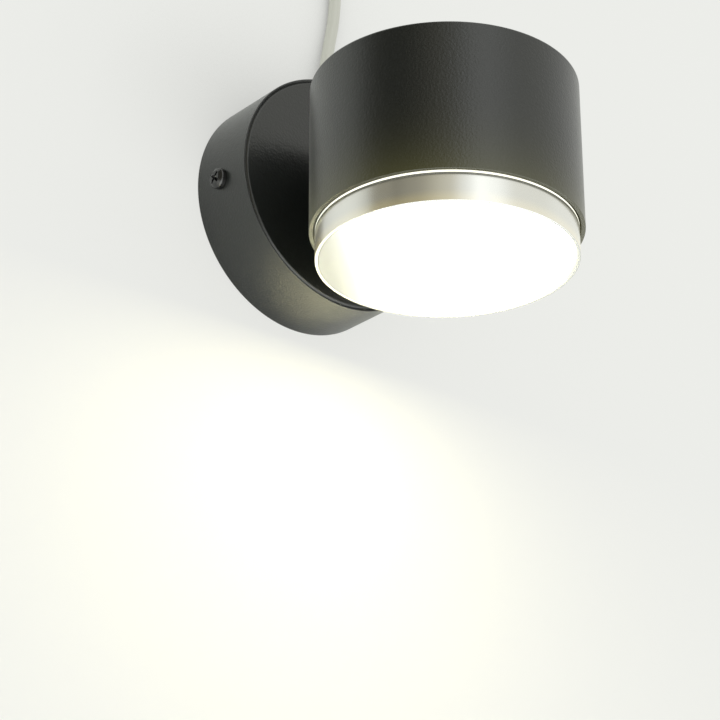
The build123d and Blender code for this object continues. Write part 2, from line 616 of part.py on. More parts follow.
# ---- driver, terminal block and wiring ----
DRIVER_MIDDLE_Y = PLATE_BACK_Y + PAD_THICKNESS + DRIVER_THICKNESS / 2
DRIVER_TOP_Z = -(STOP_TAB_RADIUS + DRIVER_STOP_CLEARANCE)
DRIVER_REACH = BASE_BORE_RADIUS - DRIVER_RING_CLEARANCE
DRIVER_BOTTOM_Z = -sqrt(DRIVER_REACH ** 2 - (DRIVER_WIDTH / 2) ** 2)
DRIVER_HEIGHT = DRIVER_TOP_Z - DRIVER_BOTTOM_Z
DRIVER_MIDDLE_Z = (DRIVER_TOP_Z + DRIVER_BOTTOM_Z) / 2
BLOCK_MIDDLE_Z = STOP_TAB_RADIUS + BLOCK_STOP_CLEARANCE + POLE_RADIUS + BLOCK_POLE_SPACING / 2
BLOCK_CENTRE = Pos(-BLOCK_LEFT_OF_AXIS, 0, BLOCK_MIDDLE_Z)
BLOCK_MIDDLE_Y = PLATE_BACK_Y + BLOCK_THICKNESS / 2
BLOCK_WEB_THICKNESS = BLOCK_THICKNESS * BLOCK_WEB_SHARE


def driver_case():
    """Closed plastic case of the LED driver, with bevelled edges."""
    case = Box(DRIVER_WIDTH, DRIVER_THICKNESS, DRIVER_HEIGHT)
    case = fillet(case.edges().filter_by(Axis.Y), DRIVER_EDGE_BEVEL * 2)
    case = chamfer(case.faces().sort_by(Axis.Y)[-1].edges(), DRIVER_EDGE_BEVEL)
    return Pos(0, DRIVER_MIDDLE_Y, DRIVER_MIDDLE_Z) * case


def driver_pad():
    """Foam pad that sticks the driver to the back of the plate."""
    pad = Box(DRIVER_WIDTH - 2 * PAD_INSET, PAD_THICKNESS, DRIVER_HEIGHT - 2 * PAD_INSET)
    return Pos(0, PLATE_BACK_Y + PAD_THICKNESS / 2, DRIVER_MIDDLE_Z) * pad


def pole_places():
    """Centres of the terminal block's two poles."""
    return [BLOCK_CENTRE * Pos(0, BLOCK_MIDDLE_Y, s * BLOCK_POLE_SPACING / 2) for s in (-1, 1)]


def terminal_screw_places():
    """Two clamping screws on each pole, seen from the back of the base."""
    offset = TERMINAL_SCREW_SPACING / 2
    return [
        pole * Pos(s * offset, BLOCK_THICKNESS / 2, 0) * Rot(-90, 0, 0)
        for pole in pole_places() for s in (-1, 1)
    ]


def terminal_block():
    """Two-pole connector: bevelled pole towers on a web, with wire bores and screw wells."""
    web = Box(BLOCK_WIDTH - 2 * POLE_RADIUS, BLOCK_WEB_THICKNESS, BLOCK_POLE_SPACING)
    block = BLOCK_CENTRE * Pos(0, PLATE_BACK_Y + BLOCK_WEB_THICKNESS / 2, 0) * web
    tower = Box(BLOCK_WIDTH, BLOCK_THICKNESS, 2 * POLE_RADIUS)
    tower = chamfer(tower.edges().filter_by(Axis.Y), POLE_BEVEL)
    block += [pole * tower for pole in pole_places()]
    bore = Rot(0, 90, 0) * Cylinder(WIRE_ENTRY_RADIUS, 2 * BLOCK_WIDTH)
    block -= [pole * bore for pole in pole_places()]
    well_depth = TERMINAL_SCREW_LENGTH + TERMINAL_SCREW_SUNK
    well = rod_z(TERMINAL_SCREW_RADIUS + M3_CLEARANCE, -well_depth, 1)
    block -= [place * well for place in terminal_screw_places()]
    return block - BLOCK_CENTRE * rod_y(M3_RADIUS + M3_CLEARANCE, PLATE_BACK_Y - 1, 0)


def terminal_screws():
    """Four slotted brass screws in the wells."""
    top, slot_width = -TERMINAL_SCREW_SUNK, TERMINAL_SCREW_RADIUS / 3
    screw = rod_z(TERMINAL_SCREW_RADIUS, top - TERMINAL_SCREW_LENGTH, top)
    screw -= Pos(0, 0, top) * Box(2 * TERMINAL_SCREW_RADIUS, slot_width, 2 * slot_width)
    return [place * screw for place in terminal_screw_places()]


def block_screw():
    """Screw that holds the terminal block to the plate."""
    length = BLOCK_WEB_THICKNESS + STOP_PIN_SEAT
    screw = plain_screw(M3_RADIUS, length, M3_HEAD_RADIUS, M3_HEAD_HEIGHT)
    seat = Pos(0, PLATE_BACK_Y + BLOCK_WEB_THICKNESS, 0)
    return BLOCK_CENTRE * seat * Rot(-90, 0, 0) * screw


def pole_end(index, side):
    """Where a wire meets the block: pole 0 (low) or 1 (high), on its left or right side."""
    x = -BLOCK_LEFT_OF_AXIS + side * BLOCK_WIDTH / 2
    return (x, BLOCK_MIDDLE_Y, BLOCK_MIDDLE_Z + (index - 0.5) * BLOCK_POLE_SPACING)


def driver_wires():
    """Two mains wires from the block's left side, past the swivel, down into the driver."""
    wires = []
    for index in (0, 1):
        x, y, z = pole_end(index, -1)
        bow = x - WIRE_BOW - index * WIRE_SPACING
        route = [(x, y, z), (bow, y, z), (bow, y, DRIVER_TOP_Z)]
        wires.append(tube_on_route(route, WIRE_RADIUS, "driver_wires"))
    return wires


def cable_base_half():
    """Low-voltage cable from the driver to the swivel axis and into the tube."""
    x, entry_y = CABLE_ENTRY_X, DRIVER_MIDDLE_Y + CABLE_RADIUS
    route = [
        (x, entry_y, DRIVER_TOP_Z), (x, entry_y, DRIVER_TOP_Z + CABLE_RISE),
        (0, -CABLE_TURN_DEPTH, 0), (0, CABLE_JOINT_Y, 0),
    ]
    return tube_on_route(route, CABLE_RADIUS, "cable_base_half")


def cable_head_half():
    """The same cable from the tube straight over the fins and down to the board."""
    route = [
        (0, CABLE_JOINT_Y, 0), (0, HEAD_AXIS_Y, 0), (0, HEAD_AXIS_Y, LAMP_PLATE_UNDERSIDE_Z),
    ]
    return tube_on_route(route, CABLE_RADIUS, "cable_head_half")


# ---- supply lead ----
GROMMET_OUTER_Z = BASE_RADIUS + RUNNING_CLEARANCE
GROMMET_END_Z = GROMMET_OUTER_Z + GROMMET_FLANGE_THICKNESS + GROMMET_NOSE_LENGTH


def on_lead_axis(radius):
    """Point on the grommet's axis at a distance from the swivel axis."""
    return (radius * sin(radians(LEAD_CLOCK)), -LEAD_DEPTH, radius * cos(radians(LEAD_CLOCK)))


# The free lead lies on the wall: its points from the grommet to the end of the jacket.
LEAD_ROUTE = [
    on_lead_axis(GROMMET_END_Z), on_lead_axis(GROMMET_END_Z + LEAD_FIRST_RUN),
    (14.1, -2.75, 82.0), (17.2, -2.6, 97.5), (18.2, -2.6, 112.5), (17.0, -2.6, 128.0),
    (13.6, -2.6, 145.5), (11.7, -2.6, 164.6),
]
# The two cores lie side by side in the jacket.
CORE_OFFSET = WIRE_RADIUS + WIRE_PAIR_GAP / 2
# Inside the base it runs straight through the grommet and the tie, then bends to the block.
LEAD_BEND = on_lead_axis(BASE_BORE_RADIUS - LEAD_BEND_INSET)
LEAD_TAIL_ROUTE = [
    on_lead_axis(GROMMET_END_Z), LEAD_BEND, tuple(a + b for a, b in zip(LEAD_BEND, LEAD_TAIL_TURN)),
]


def cord_grommet():
    """Rubber grommet in the ring's notch, with a tapered nose along the lead."""
    bore = LEAD_RADIUS + GROMMET_BORE_CLEARANCE
    inner = BASE_BORE_RADIUS - GROMMET_SEAT_SAG
    flange = GROMMET_OUTER_Z + GROMMET_FLANGE_THICKNESS
    grommet = turned_about_z(
        (bore, inner - GROMMET_FLANGE_THICKNESS),
        (GROMMET_FLANGE_RADIUS, inner - GROMMET_FLANGE_THICKNESS), (GROMMET_FLANGE_RADIUS, inner),
        (GROMMET_WAIST_RADIUS, inner), (GROMMET_WAIST_RADIUS, GROMMET_OUTER_Z),
        (GROMMET_FLANGE_RADIUS, GROMMET_OUTER_Z), (GROMMET_FLANGE_RADIUS, flange),
        (GROMMET_WAIST_RADIUS + 0.8, flange), (GROMMET_NOSE_RADIUS, GROMMET_END_Z),
        (bore, GROMMET_END_Z),
    )
    grommet = on_clock(LEAD_CLOCK, -LEAD_DEPTH, 0) * grommet
    wall_side = Pos(0, BASE_DEPTH / 2 - GROMMET_WALL_CLEARANCE, 0)
    return grommet - wall_side * Box(4 * BASE_RADIUS, BASE_DEPTH, 4 * BASE_RADIUS)


def supply_lead():
    """Free length of the lead, from the grommet's nose up the wall."""
    return tube_on_route(LEAD_ROUTE, LEAD_RADIUS, "supply_lead")


def end_place(route):
    """Plane at the end of a jacket's route, looking along it."""
    before, end = Vector(*route[-2]), Vector(*route[-1])
    return Plane(end, x_dir=(1, 0, 0), z_dir=end - before)


def lead_cores():
    """Two insulated cores that stick out of the jacket's free end."""
    along = end_place(LEAD_ROUTE)
    cores = []
    for side in (-1, 1):
        start = side * CORE_OFFSET
        local = [(start, 0, 0), (start, 0, CORE_KNEE), (start + side * CORE_SPREAD, 0, CORE_LENGTH)]
        route = [tuple(along.from_local_coords(Vector(*p))) for p in local]
        cores.append(tube_on_route(route, WIRE_RADIUS, "lead_cores"))
    return cores


def core_ferrules():
    """Tinned end sleeves crimped on the bare ends of the cores."""
    along = end_place(LEAD_ROUTE)
    sleeves = []
    for side in (-1, 1):
        start = side * CORE_OFFSET
        knee = Vector(start, 0, CORE_KNEE)
        tip = Vector(start + side * CORE_SPREAD, 0, CORE_LENGTH)
        place = Plane(along.from_local_coords(tip),
                      z_dir=along.from_local_coords(tip) - along.from_local_coords(knee))
        sleeves.append(place * rod_z(FERRULE_RADIUS, 0, FERRULE_LENGTH))
    return sleeves


def lead_tail():
    """Lead from the grommet's nose into the base, to the end of its jacket."""
    return tube_on_route(LEAD_TAIL_ROUTE, LEAD_RADIUS, "lead_tail")


def tail_cores():
    """Two cores from the end of the jacket round into the block's right side."""
    along = end_place(LEAD_TAIL_ROUTE)
    cores = []
    for index, side in ((1, -1), (0, 1)):
        x, y, z = pole_end(index, 1)
        offset = side * CORE_OFFSET
        local = [(offset, 0, 0), (offset, 0, TAIL_CORE_KNEE)]
        route = [tuple(along.from_local_coords(Vector(*p))) for p in local]
        route += [(x + TAIL_CORE_RUN + offset, y, z), (x, y, z)]
        cores.append(tube_on_route(route, WIRE_RADIUS, "tail_cores"))
    return cores


def cord_tie():
    """Nylon tie pulled tight round the lead just inside the grommet."""
    z_top = BASE_BORE_RADIUS - GROMMET_SEAT_SAG - GROMMET_FLANGE_THICKNESS - TIE_GAP
    inner, outer = LEAD_RADIUS + GROMMET_BORE_CLEARANCE, LEAD_RADIUS + TIE_THICKNESS
    band = rod_z(outer, z_top - TIE_WIDTH, z_top) - rod_z(inner, z_top - 2 * TIE_WIDTH, z_top + 1)
    head = Pos(0, -inner - TIE_HEAD / 2, z_top - TIE_WIDTH / 2) * Box(TIE_HEAD, TIE_HEAD, TIE_HEAD)
    clear = rod_z(inner, z_top - 2 * TIE_HEAD, z_top + TIE_HEAD)
    head_below = Pos(0, 0, -(TIE_HEAD - TIE_WIDTH) / 2) * head
    return on_clock(LEAD_CLOCK, -LEAD_DEPTH, 0) * (band + head_below - clear)


# ---- one file for each node ----
NODES = {
    "base_ring": base_ring(),
    "base_front_plate": base_front_plate(),
    "wall_bracket": wall_bracket(),
    "side_screws": side_screws(),
    "stop_pin": stop_pin(),
    "friction_washer": ring_y(
        FRICTION_WASHER_RADIUS, TUBE_RADIUS + RUNNING_CLEARANCE, -BASE_DEPTH, FRICTION_WASHER_END_Y
    ),
    "thrust_washer": ring_y(
        THRUST_WASHER_RADIUS, TUBE_RADIUS + RUNNING_CLEARANCE, PLATE_BACK_Y, THRUST_WASHER_END_Y
    ),
    "driver_case": driver_case(),
    "driver_pad": driver_pad(),
    "driver_wires": driver_wires(),
    "terminal_block": terminal_block(),
    "terminal_screws": terminal_screws(),
    "block_screw": block_screw(),
    "cable_base_half": cable_base_half(),
    "cord_grommet": cord_grommet(),
    "cord_tie": cord_tie(),
    "lead_tail": lead_tail(),
    "tail_cores": tail_cores(),
    "supply_lead": supply_lead(),
    "lead_cores": lead_cores(),
    "core_ferrules": core_ferrules(),
    "head_housing": head_housing(),
    "swivel_tube": swivel_tube(),
    "neck_collar": neck_collar(),
    "saddle_washer": saddle_washer(),
    "head_nut": hex_nut_y(HEAD_NUT_END_Y, SADDLE_END_Y),
    "stop_washer": stop_washer(),
    "spring_washer": spring_washer(),
    "lock_nuts": lock_nuts(),
    "tube_bushes": tube_bushes(),
    "head_pillars": head_pillars(),
    "pillar_screws": pillar_screws(),
    "lamp_body": lamp_body(),
    "led_board": led_board(),
    "board_screws": board_screws(),
    "led_chips": led_chips(),
    "reflector": reflector(),
    "cable_head_half": cable_head_half(),
    "trim_ring": trim_ring(),
    "diffuser_gasket": diffuser_gasket(),
    "diffuser": diffuser(),
}

os.makedirs("parts", exist_ok=True)
for name, shape in NODES.items():
    solids = shape if isinstance(shape, list) else [shape]
    export_step(Compound(children=[s.solid() for s in solids]), f"parts/{name}.step")
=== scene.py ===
"""Looks of a pivoting spotlight wall light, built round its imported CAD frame.

Lengths are millimetres in the row frame (+Z up, +Y into the wall) until a mesh is written,
which is in metres. The swivel axis is Y through the origin.
"""

import json
import logging
import math
from dataclasses import dataclass
from enum import Enum
from typing import Callable, Mapping, Optional, Sequence, Union

import bpy
import numpy as np
from mathutils import Matrix


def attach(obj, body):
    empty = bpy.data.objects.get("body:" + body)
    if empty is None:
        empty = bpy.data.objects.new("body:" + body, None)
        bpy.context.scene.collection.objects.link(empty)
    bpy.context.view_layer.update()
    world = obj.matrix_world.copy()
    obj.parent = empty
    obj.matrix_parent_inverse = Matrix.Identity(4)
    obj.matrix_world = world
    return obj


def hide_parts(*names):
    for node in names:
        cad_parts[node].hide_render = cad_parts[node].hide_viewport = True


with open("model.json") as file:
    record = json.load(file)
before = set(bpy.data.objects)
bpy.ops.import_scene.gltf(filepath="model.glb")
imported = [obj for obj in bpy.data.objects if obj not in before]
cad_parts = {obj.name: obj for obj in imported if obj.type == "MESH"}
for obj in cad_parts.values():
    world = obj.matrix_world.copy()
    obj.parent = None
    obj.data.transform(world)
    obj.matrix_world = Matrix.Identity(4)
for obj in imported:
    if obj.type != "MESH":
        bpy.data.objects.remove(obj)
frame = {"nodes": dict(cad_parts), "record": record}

Triple = tuple[float, float, float]  # a point, a direction or linear RGB
Pair = tuple[float, float]  # a place in XY, or the two ends of a range

LOG = logging.getLogger("wall_light")
MM = 0.001
SUPPORT = 0.04  # distance of a flat's support row from a rounded corner
SUPPORT_SHARE = 0.25  # most of a short side that the distance may take up
ARC_STEP = 0.2  # radians of a rounding that one side of its outline spans
OUT_OF_WALL = Matrix.Rotation(math.radians(90), 4, "X")  # turns local Z to -Y
BLACK = (0.0, 0.0, 0.0)
WHITE = (1.0, 1.0, 1.0)


class Body(str, Enum):
    """CAD bodies that pieces ride on."""

    BASE = "wall_base"
    HEAD = "head"


# ---------------------------------------------------------------- shader helpers


class Value:
    """A shader output that takes part in arithmetic; each operator adds a Math node."""

    def __init__(self, shader: "Shader", socket: bpy.types.NodeSocket) -> None:
        """Wraps a socket.

        Args:
            shader: the shader whose tree holds the socket.
            socket: the output that carries the value.
        """
        self.shader = shader
        self.socket = socket

    def _math(self, operation: str, first: "Term", second: "Term" = 0.0) -> "Value":
        """Adds one Math node and returns its output."""
        return self.shader.node("Math", {0: first, 1: second}, operation=operation)["Value"]

    def __add__(self, other: "Term") -> "Value":
        """Sum."""
        return self._math("ADD", self, other)

    def __radd__(self, other: "Term") -> "Value":
        """Sum with this value on the right."""
        return self._math("ADD", other, self)

    def __sub__(self, other: "Term") -> "Value":
        """Difference."""
        return self._math("SUBTRACT", self, other)

    def __rsub__(self, other: "Term") -> "Value":
        """Difference with this value on the right."""
        return self._math("SUBTRACT", other, self)

    def __mul__(self, other: "Term") -> "Value":
        """Product."""
        return self._math("MULTIPLY", self, other)

    def __truediv__(self, other: "Term") -> "Value":
        """Quotient."""
        return self._math("DIVIDE", self, other)

    def __pow__(self, other: "Term") -> "Value":
        """This value to a power."""
        return self._math("POWER", self, other)

    def __abs__(self) -> "Value":
        """The value without its sign."""
        return self._math("ABSOLUTE", self)

    def or_more(self, other: "Term") -> "Value":
        """The greater of this value and another."""
        return self._math("MAXIMUM", self, other)

    def heading(self, along: "Value") -> "Value":
        """Angle in degrees of the direction whose Y is this value.

        Args:
            along: X of the direction.
        Returns:
            The angle, from -180 to 180.
        """
        return self._math("ARCTAN2", self, along) * math.degrees(1.0)

    def step(self, low: float, high: float) -> "Value":
        """Smooth step from 0 at low to 1 at high.

        Args:
            low: value where the step starts.
            high: value where the step ends.
        Returns:
            The stepped value.
        """
        ends = {"Value": self, "From Min": low, "From Max": high}
        return self.shader.node("MapRange", ends, interpolation_type="SMOOTHSTEP")["Result"]


Term = Union[Value, float]


class Made:
    """A node that was just added; indexing it by output name gives a Value."""

    def __init__(self, shader: "Shader", node: bpy.types.Node) -> None:
        """Wraps a node.

        Args:
            shader: the shader whose tree holds the node.
            node: the node itself.
        """
        self.shader = shader
        self.node = node

    def __getitem__(self, output: Union[str, int]) -> Value:
        """One of the node's outputs."""
        return Value(self.shader, self.node.outputs[output])


class Shader:
    """The node tree of one material or world."""

    def __init__(self, owner: Union[bpy.types.Material, bpy.types.World]) -> None:
        """Clears the owner's tree and adds its output node.

        Args:
            owner: the material or world to write.
        """
        owner.use_nodes = True
        self.tree = owner.node_tree
        self.tree.nodes.clear()
        kind = "World" if isinstance(owner, bpy.types.World) else "Material"
        self.output = self.tree.nodes.new("ShaderNodeOutput" + kind)

    def node(
        self, kind: str, inputs: Optional[Mapping[Union[str, int], object]] = None,
        **settings: object,
    ) -> Made:
        """Adds any node: its settings are set first, and then its sockets.

        Args:
            kind: the node's type, without the ShaderNode that every type starts with.
            inputs: socket name or index to a Value or a constant, which is RGB for a colour.
            settings: attributes of the node.
        Returns:
            The node, wrapped.
        """
        made = self.tree.nodes.new("ShaderNode" + kind)
        for name, setting in settings.items():
            setattr(made, name, setting)
        for key, given in (inputs or {}).items():
            socket = made.inputs[key]
            if isinstance(given, Value):
                self.tree.links.new(given.socket, socket)
            else:
                socket.default_value = (*given, 1.0) if socket.type == "RGBA" else given
        return Made(self, made)

    def finish(self, surface: Value) -> None:
        """Links the last shader to the output.

        Args:
            surface: the closure to show.
        """
        self.tree.links.new(surface.socket, self.output.inputs["Surface"])

    def place(self) -> Value:
        """Object coordinates, in metres in the row frame."""
        return self.node("TexCoord")["Object"]

    def along(self, axis: str) -> Value:
        """Object coordinate along X, Y or Z, in millimetres."""
        return self.node("SeparateXYZ", {"Vector": self.place()})[axis] / MM

    def noise(
        self, scale: float, detail: float = 2.0, stretch: Sequence[float] = (1.0, 1.0, 1.0)
    ) -> Value:
        """Noise of the object coordinates.

        Args:
            scale: features per millimetre.
            detail: octaves.
            stretch: factor on each coordinate.
        Returns:
            The noise, about 0.5 on average.
        """
        factors = tuple(s / MM for s in stretch)
        moved = self.node("Mapping", {"Vector": self.place(), "Scale": factors})["Vector"]
        return self.node("TexNoise", {"Vector": moved, "Scale": scale, "Detail": detail})[0]

    def bump(self, height: Value, depth: float) -> Value:
        """Normal bent by a height.

        Args:
            height: the height, 0 to 1.
            depth: millimetres for a height of 1.
        Returns:
            The bent normal.
        """
        bent = {"Height": height, "Distance": depth * MM, "Strength": 1.0}
        return self.node("Bump", bent)["Normal"]

    def mix(self, factor: Term, first: "Colour", second: "Colour") -> Value:
        """Colour between two colours.

        Args:
            factor: 0 for the first, 1 for the second.
            first: the first colour.
            second: the second colour.
        Returns:
            The mixed colour.
        """
        return self.node("Mix", {0: factor, 6: first, 7: second}, data_type="RGBA")[2]

    def blend(self, factor: Term, first: Value, second: Value) -> Value:
        """Surface between two surfaces.

        Args:
            factor: 0 for the first, 1 for the second.
            first: the first surface.
            second: the second surface.
        Returns:
            The blended surface.
        """
        return self.node("MixShader", {0: factor, 1: first, 2: second})[0]


Colour = Union[Value, Triple]


# ---------------------------------------------------------------- finishes


@dataclass(frozen=True)
class Finish:
    """Plain surface of one colour, with a little unevenness in its gloss.

    Args:
        colour: linear RGB.
        roughness: microfacet roughness.
        metallic: 1 for bare metal.
        specular: level of the mirror-like part.
        unevenness: how far the roughness wanders.
        patches: patches of even gloss per millimetre.
    """

    colour: Triple
    roughness: float
    metallic: float = 0.0
    specular: float = 0.5
    unevenness: float = 0.06
    patches: float = 0.35

    def inputs(self, shader: Shader) -> dict[str, object]:
        """Sockets of the surface that this finish sets.

        Args:
            shader: the tree to build in.
        Returns:
            Socket name to value.
        """
        wander = (shader.noise(self.patches) - 0.5) * self.unevenness
        return {
            "Base Color": self.colour,
            "Roughness": wander + self.roughness,
            "Metallic": self.metallic,
            "Specular IOR Level": self.specular,
        }

    def material(self, name: str) -> bpy.types.Material:
        """Builds the material.

        Args:
            name: the material's name.
        Returns:
            The material.
        """
        made = bpy.data.materials.new(name)
        shader = Shader(made)
        shader.finish(shader.node("BsdfPrincipled", self.inputs(shader))["BSDF"])
        return made


@dataclass(frozen=True)
class PowderCoat(Finish):
    """Matte powder coat with a fine orange-peel grain.

    Args:
        grain: grains per millimetre.
        octaves: octaves of the grain's noise.
        depth: height of the grain in millimetres.
        tops: share of the grain's height where its paler top starts, and where it is full.
        paler: how many times paler the tops are.
        sheen: how much paler the coat is when seen along the surface.
        sheen_roughness: how far that paleness spreads.
    """

    grain: float = 1.15
    octaves: float = 3.0
    depth: float = 0.12
    tops: Pair = (0.45, 0.7)
    paler: float = 1.35
    sheen: float = 0.17
    sheen_roughness: float = 0.3

    def inputs(self, shader: Shader) -> dict[str, object]:
        """Adds the grain to the plain surface; the tops of grains are a little paler.

        Args:
            shader: the tree to build in.
        Returns:
            Socket name to value.
        """
        sockets = super().inputs(shader)
        grain = shader.noise(self.grain, detail=self.octaves)
        pale = tuple(self.paler * c for c in self.colour)
        sockets["Base Color"] = shader.mix(grain.step(*self.tops), self.colour, pale)
        sockets["Normal"] = shader.bump(grain, self.depth)
        sockets["Sheen Weight"] = self.sheen
        sockets["Sheen Roughness"] = self.sheen_roughness
        return sockets


@dataclass(frozen=True)
class LitCoat(PowderCoat):
    """Powder coat with a faint warm glow painted on it as emission just above a rim.

    Args:
        rim: height of the rim in millimetres.
        reach: how far up the light reaches in millimetres.
        fading: power that makes the light fade faster near the rim.
        light: colour of the painted glow at the rim.
    """

    rim: float = 0.0
    reach: float = 55.0
    fading: float = 3.0
    light: Triple = (0.038, 0.036, 0.010)

    def inputs(self, shader: Shader) -> dict[str, object]:
        """Adds the light.

        A smooth step over twice the reach has its middle at the rim, so twice what is left of
        it is 1 there and 0 at the reach. The light is that, to the power of the fading.

        Args:
            shader: the tree to build in.
        Returns:
            Socket name to value.
        """
        sockets = super().inputs(shader)
        # painted warm glow just above the rim, as emission
        near = 1.0 - (shader.along("Z") - self.rim).step(-self.reach, self.reach)
        sockets["Emission Color"] = shader.mix((near * 2.0) ** self.fading, BLACK, self.light)
        sockets["Emission Strength"] = 1.0
        return sockets


@dataclass(frozen=True)
class TurnedMetal(Finish):
    """Satin metal ring with fine lines round the axis, with the lamp's light painted at both its
    edges.

    A bright line is painted on its bead as emission, a dark shade is painted below the bead in the
    base colour, and a painted warm glow spreads up from the diffuser as emission.

    Args:
        lines: lines per millimetre along Z.
        stretch: factors that draw the lines' noise out round the axis.
        depth: height of the lines in millimetres.
        swing: how far the roughness varies between lines.
        rim: height of the cup's rim in millimetres.
        line_low: how far below the rim the bright line starts.
        line_high: how far below the rim it is full.
        leak: colour of the painted bright line.
        shade_low: how far below the rim the dark shade ends.
        shade: colour of the metal in the painted shade.
        bottom: height of the ring's lower edge in millimetres.
        onset: how far over the lower edge the warm light is full.
        spread: how far up the warm light reaches.
        warm: colour of the painted warm glow at the lower edge.
        faint: colour of the painted warm glow at the top of its reach.
    """

    lines: float = 5.0
    stretch: Triple = (0.02, 0.02, 1.0)
    depth: float = 0.002
    swing: float = 0.12
    rim: float = 0.0
    line_low: float = 0.50
    line_high: float = 0.36
    leak: Triple = (1.5, 1.48, 1.25)
    shade_low: float = 2.0
    shade: Triple = (0.26, 0.26, 0.23)
    bottom: float = 0.0
    onset: float = 0.3
    spread: float = 5.0
    warm: Triple = (0.27, 0.235, 0.13)
    faint: Triple = (0.165, 0.157, 0.120)

    def inputs(self, shader: Shader) -> dict[str, object]:
        """Adds the lines, and paints the bright line, the shade and the warm light.

        Each is a smooth step of the height. The warm light is cut off on the underside.

        Args:
            shader: the tree to build in.
        Returns:
            Socket name to value.
        """
        sockets = super().inputs(shader)
        lines = shader.noise(self.lines, stretch=self.stretch)
        sockets["Normal"] = shader.bump(lines, self.depth)
        sockets["Roughness"] = (lines - 0.5) * self.swing + self.roughness
        height = shader.along("Z")
        # painted shade: the base colour darkens below the bead
        shaded = height.step(self.rim - self.shade_low, self.rim - self.line_low)
        sockets["Base Color"] = shader.mix(shaded, self.colour, self.shade)
        # painted warm glow spreading up from the diffuser, as emission
        fading = height.step(self.bottom, self.bottom + self.spread)
        upright = height.step(self.bottom, self.bottom + self.onset)
        spread = shader.mix(upright, BLACK, shader.mix(fading, self.warm, self.faint))
        below = shader.mix(shaded, spread, BLACK)
        # painted bright line on the bead, as emission
        line = height.step(self.rim - self.line_low, self.rim - self.line_high)
        sockets["Emission Color"] = shader.mix(line, below, self.leak)
        sockets["Emission Strength"] = 1.0
        return sockets


@dataclass(frozen=True)
class Opal(Finish):
    """Opal disc lit from behind: warm, and dimmer towards two opposite sides.

    Args:
        strength: emission strength.
        centre: X and Y of the lamp's axis in millimetres.
        radius: radius of the disc in millimetres.
        across: direction in XY towards the dim sides.
        offset: how far the bright middle is shifted, as a share of the radius.
        lean: how much the dim sides grow towards the wall.
        bright: falloff where the middle's light starts to fade, and where it has gone.
        fading: power that makes it fade faster.
        dim: falloff where a dim side starts to fade, and where it has gone.
        middle: colour of the light in the middle.
        inside: colour of the light where a dim side begins.
    """

    strength: float = 54.0
    centre: Pair = (0.0, 0.0)
    radius: float = 46.0
    across: Pair = (0.76, -0.65)
    offset: float = 0.12
    lean: float = 0.25
    bright: Pair = (0.15, 1.05)
    fading: float = 4.0
    dim: Pair = (0.55, 1.14)
    middle: Triple = (1.0, 0.92, 0.55)
    inside: Triple = (0.0100, 0.0100, 0.0091)

    def inputs(self, shader: Shader) -> dict[str, object]:
        """Adds light that falls off smoothly towards the dim sides.

        Distances from the centre count as shares of the radius. The distance across is
        shortened by the offset and squared, and the lean times the distance the other way is
        added: that is the falloff. The middle's light is what a smooth step of the falloff
        leaves of 1, to the power of the fading.

        Args:
            shader: the tree to build in.
        Returns:
            Socket name to value.
        """
        sockets = super().inputs(shader)
        off_x = shader.along("X") - self.centre[0]
        off_y = shader.along("Y") - self.centre[1]
        across = (off_x * self.across[0] + off_y * self.across[1]) / self.radius - self.offset
        other_way = (off_y * self.across[0] - off_x * self.across[1]) / self.radius
        falloff = across * across + other_way * self.lean
        lit = 1.0 - falloff.step(*self.bright)
        dim = shader.mix(falloff.step(*self.dim), self.inside, BLACK)
        sockets["Emission Color"] = shader.mix(lit ** self.fading, dim, self.middle)
        sockets["Emission Strength"] = self.strength
        return sockets


FINISHES: dict[str, Finish] = {
    "powder_black": PowderCoat((0.0080, 0.0095, 0.0084), 0.31, specular=0.88),
    "black_screw": Finish((0.006, 0.006, 0.006), 0.24, specular=1.0),
    "cast_aluminium": Finish((0.55, 0.55, 0.54), 0.55, metallic=1.0),
    "zinc_steel": Finish((0.60, 0.61, 0.60), 0.34, metallic=1.0),
    "spring_steel": Finish((0.30, 0.30, 0.31), 0.35, metallic=1.0),
    "brass": Finish((0.70, 0.50, 0.22), 0.30, metallic=1.0),
    "white_nylon": Finish((0.80, 0.78, 0.72), 0.45),
    "white_board": Finish((0.85, 0.85, 0.82), 0.30),
    "white_reflector": Finish((0.90, 0.90, 0.88), 0.50),
    "led_yellow": Finish((0.90, 0.70, 0.12), 0.35),
    "silicone_clear": Finish((0.68, 0.68, 0.64), 0.40),
    "black_rubber": Finish((0.02, 0.02, 0.02), 0.65),
    "driver_white": Finish((0.78, 0.78, 0.75), 0.42),
    "foam_grey": Finish((0.22, 0.22, 0.23), 0.90),
    "lead_grey": Finish((0.60, 0.60, 0.54), 0.34),
    "wire_brown": Finish((0.16, 0.06, 0.025), 0.35),
    "tinned": Finish((0.66, 0.64, 0.60), 0.25, metallic=1.0),
}


class Wardrobe:
    """Makes each material once, by the name of its slot or look."""

    def __init__(self, finishes: Mapping[str, Finish]) -> None:
        """Takes the finishes.

        Args:
            finishes: name of a slot or look to its finish.
        """
        self.finishes = finishes
        self.made: dict[str, bpy.types.Material] = {}

    def __getitem__(self, name: str) -> bpy.types.Material:
        """Material of a slot or look, made when it is first asked for."""
        if name not in self.made:
            self.made[name] = self.finishes[name].material(name)
        return self.made[name]

    def dress_cad(self, parts: Mapping[str, bpy.types.Object], record: Mapping[str, list]) -> None:
        """Gives every CAD node that is left showing its slot's material.

        Args:
            parts: the frame's nodes.
            record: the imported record.
        """
        slots = {entry["node"]: entry["material_slot"] for entry in record["subparts"]}
        for name, part in parts.items():
            if part.hide_render:
                continue
            for held in part.material_slots:
                held.material = self[slots[name]]
            LOG.info("CAD node %s wears %s", name, slots[name])


# ---------------------------------------------------------------- surfaces


@dataclass(frozen=True)
class Corner:
    """One corner of a turned profile.

    Args:
        radius: distance from the axis in millimetres.
        along: place along the axis in millimetres.
        round: radius of the rounding in millimetres.
    """

    radius: float
    along: float
    round: float = 0.0


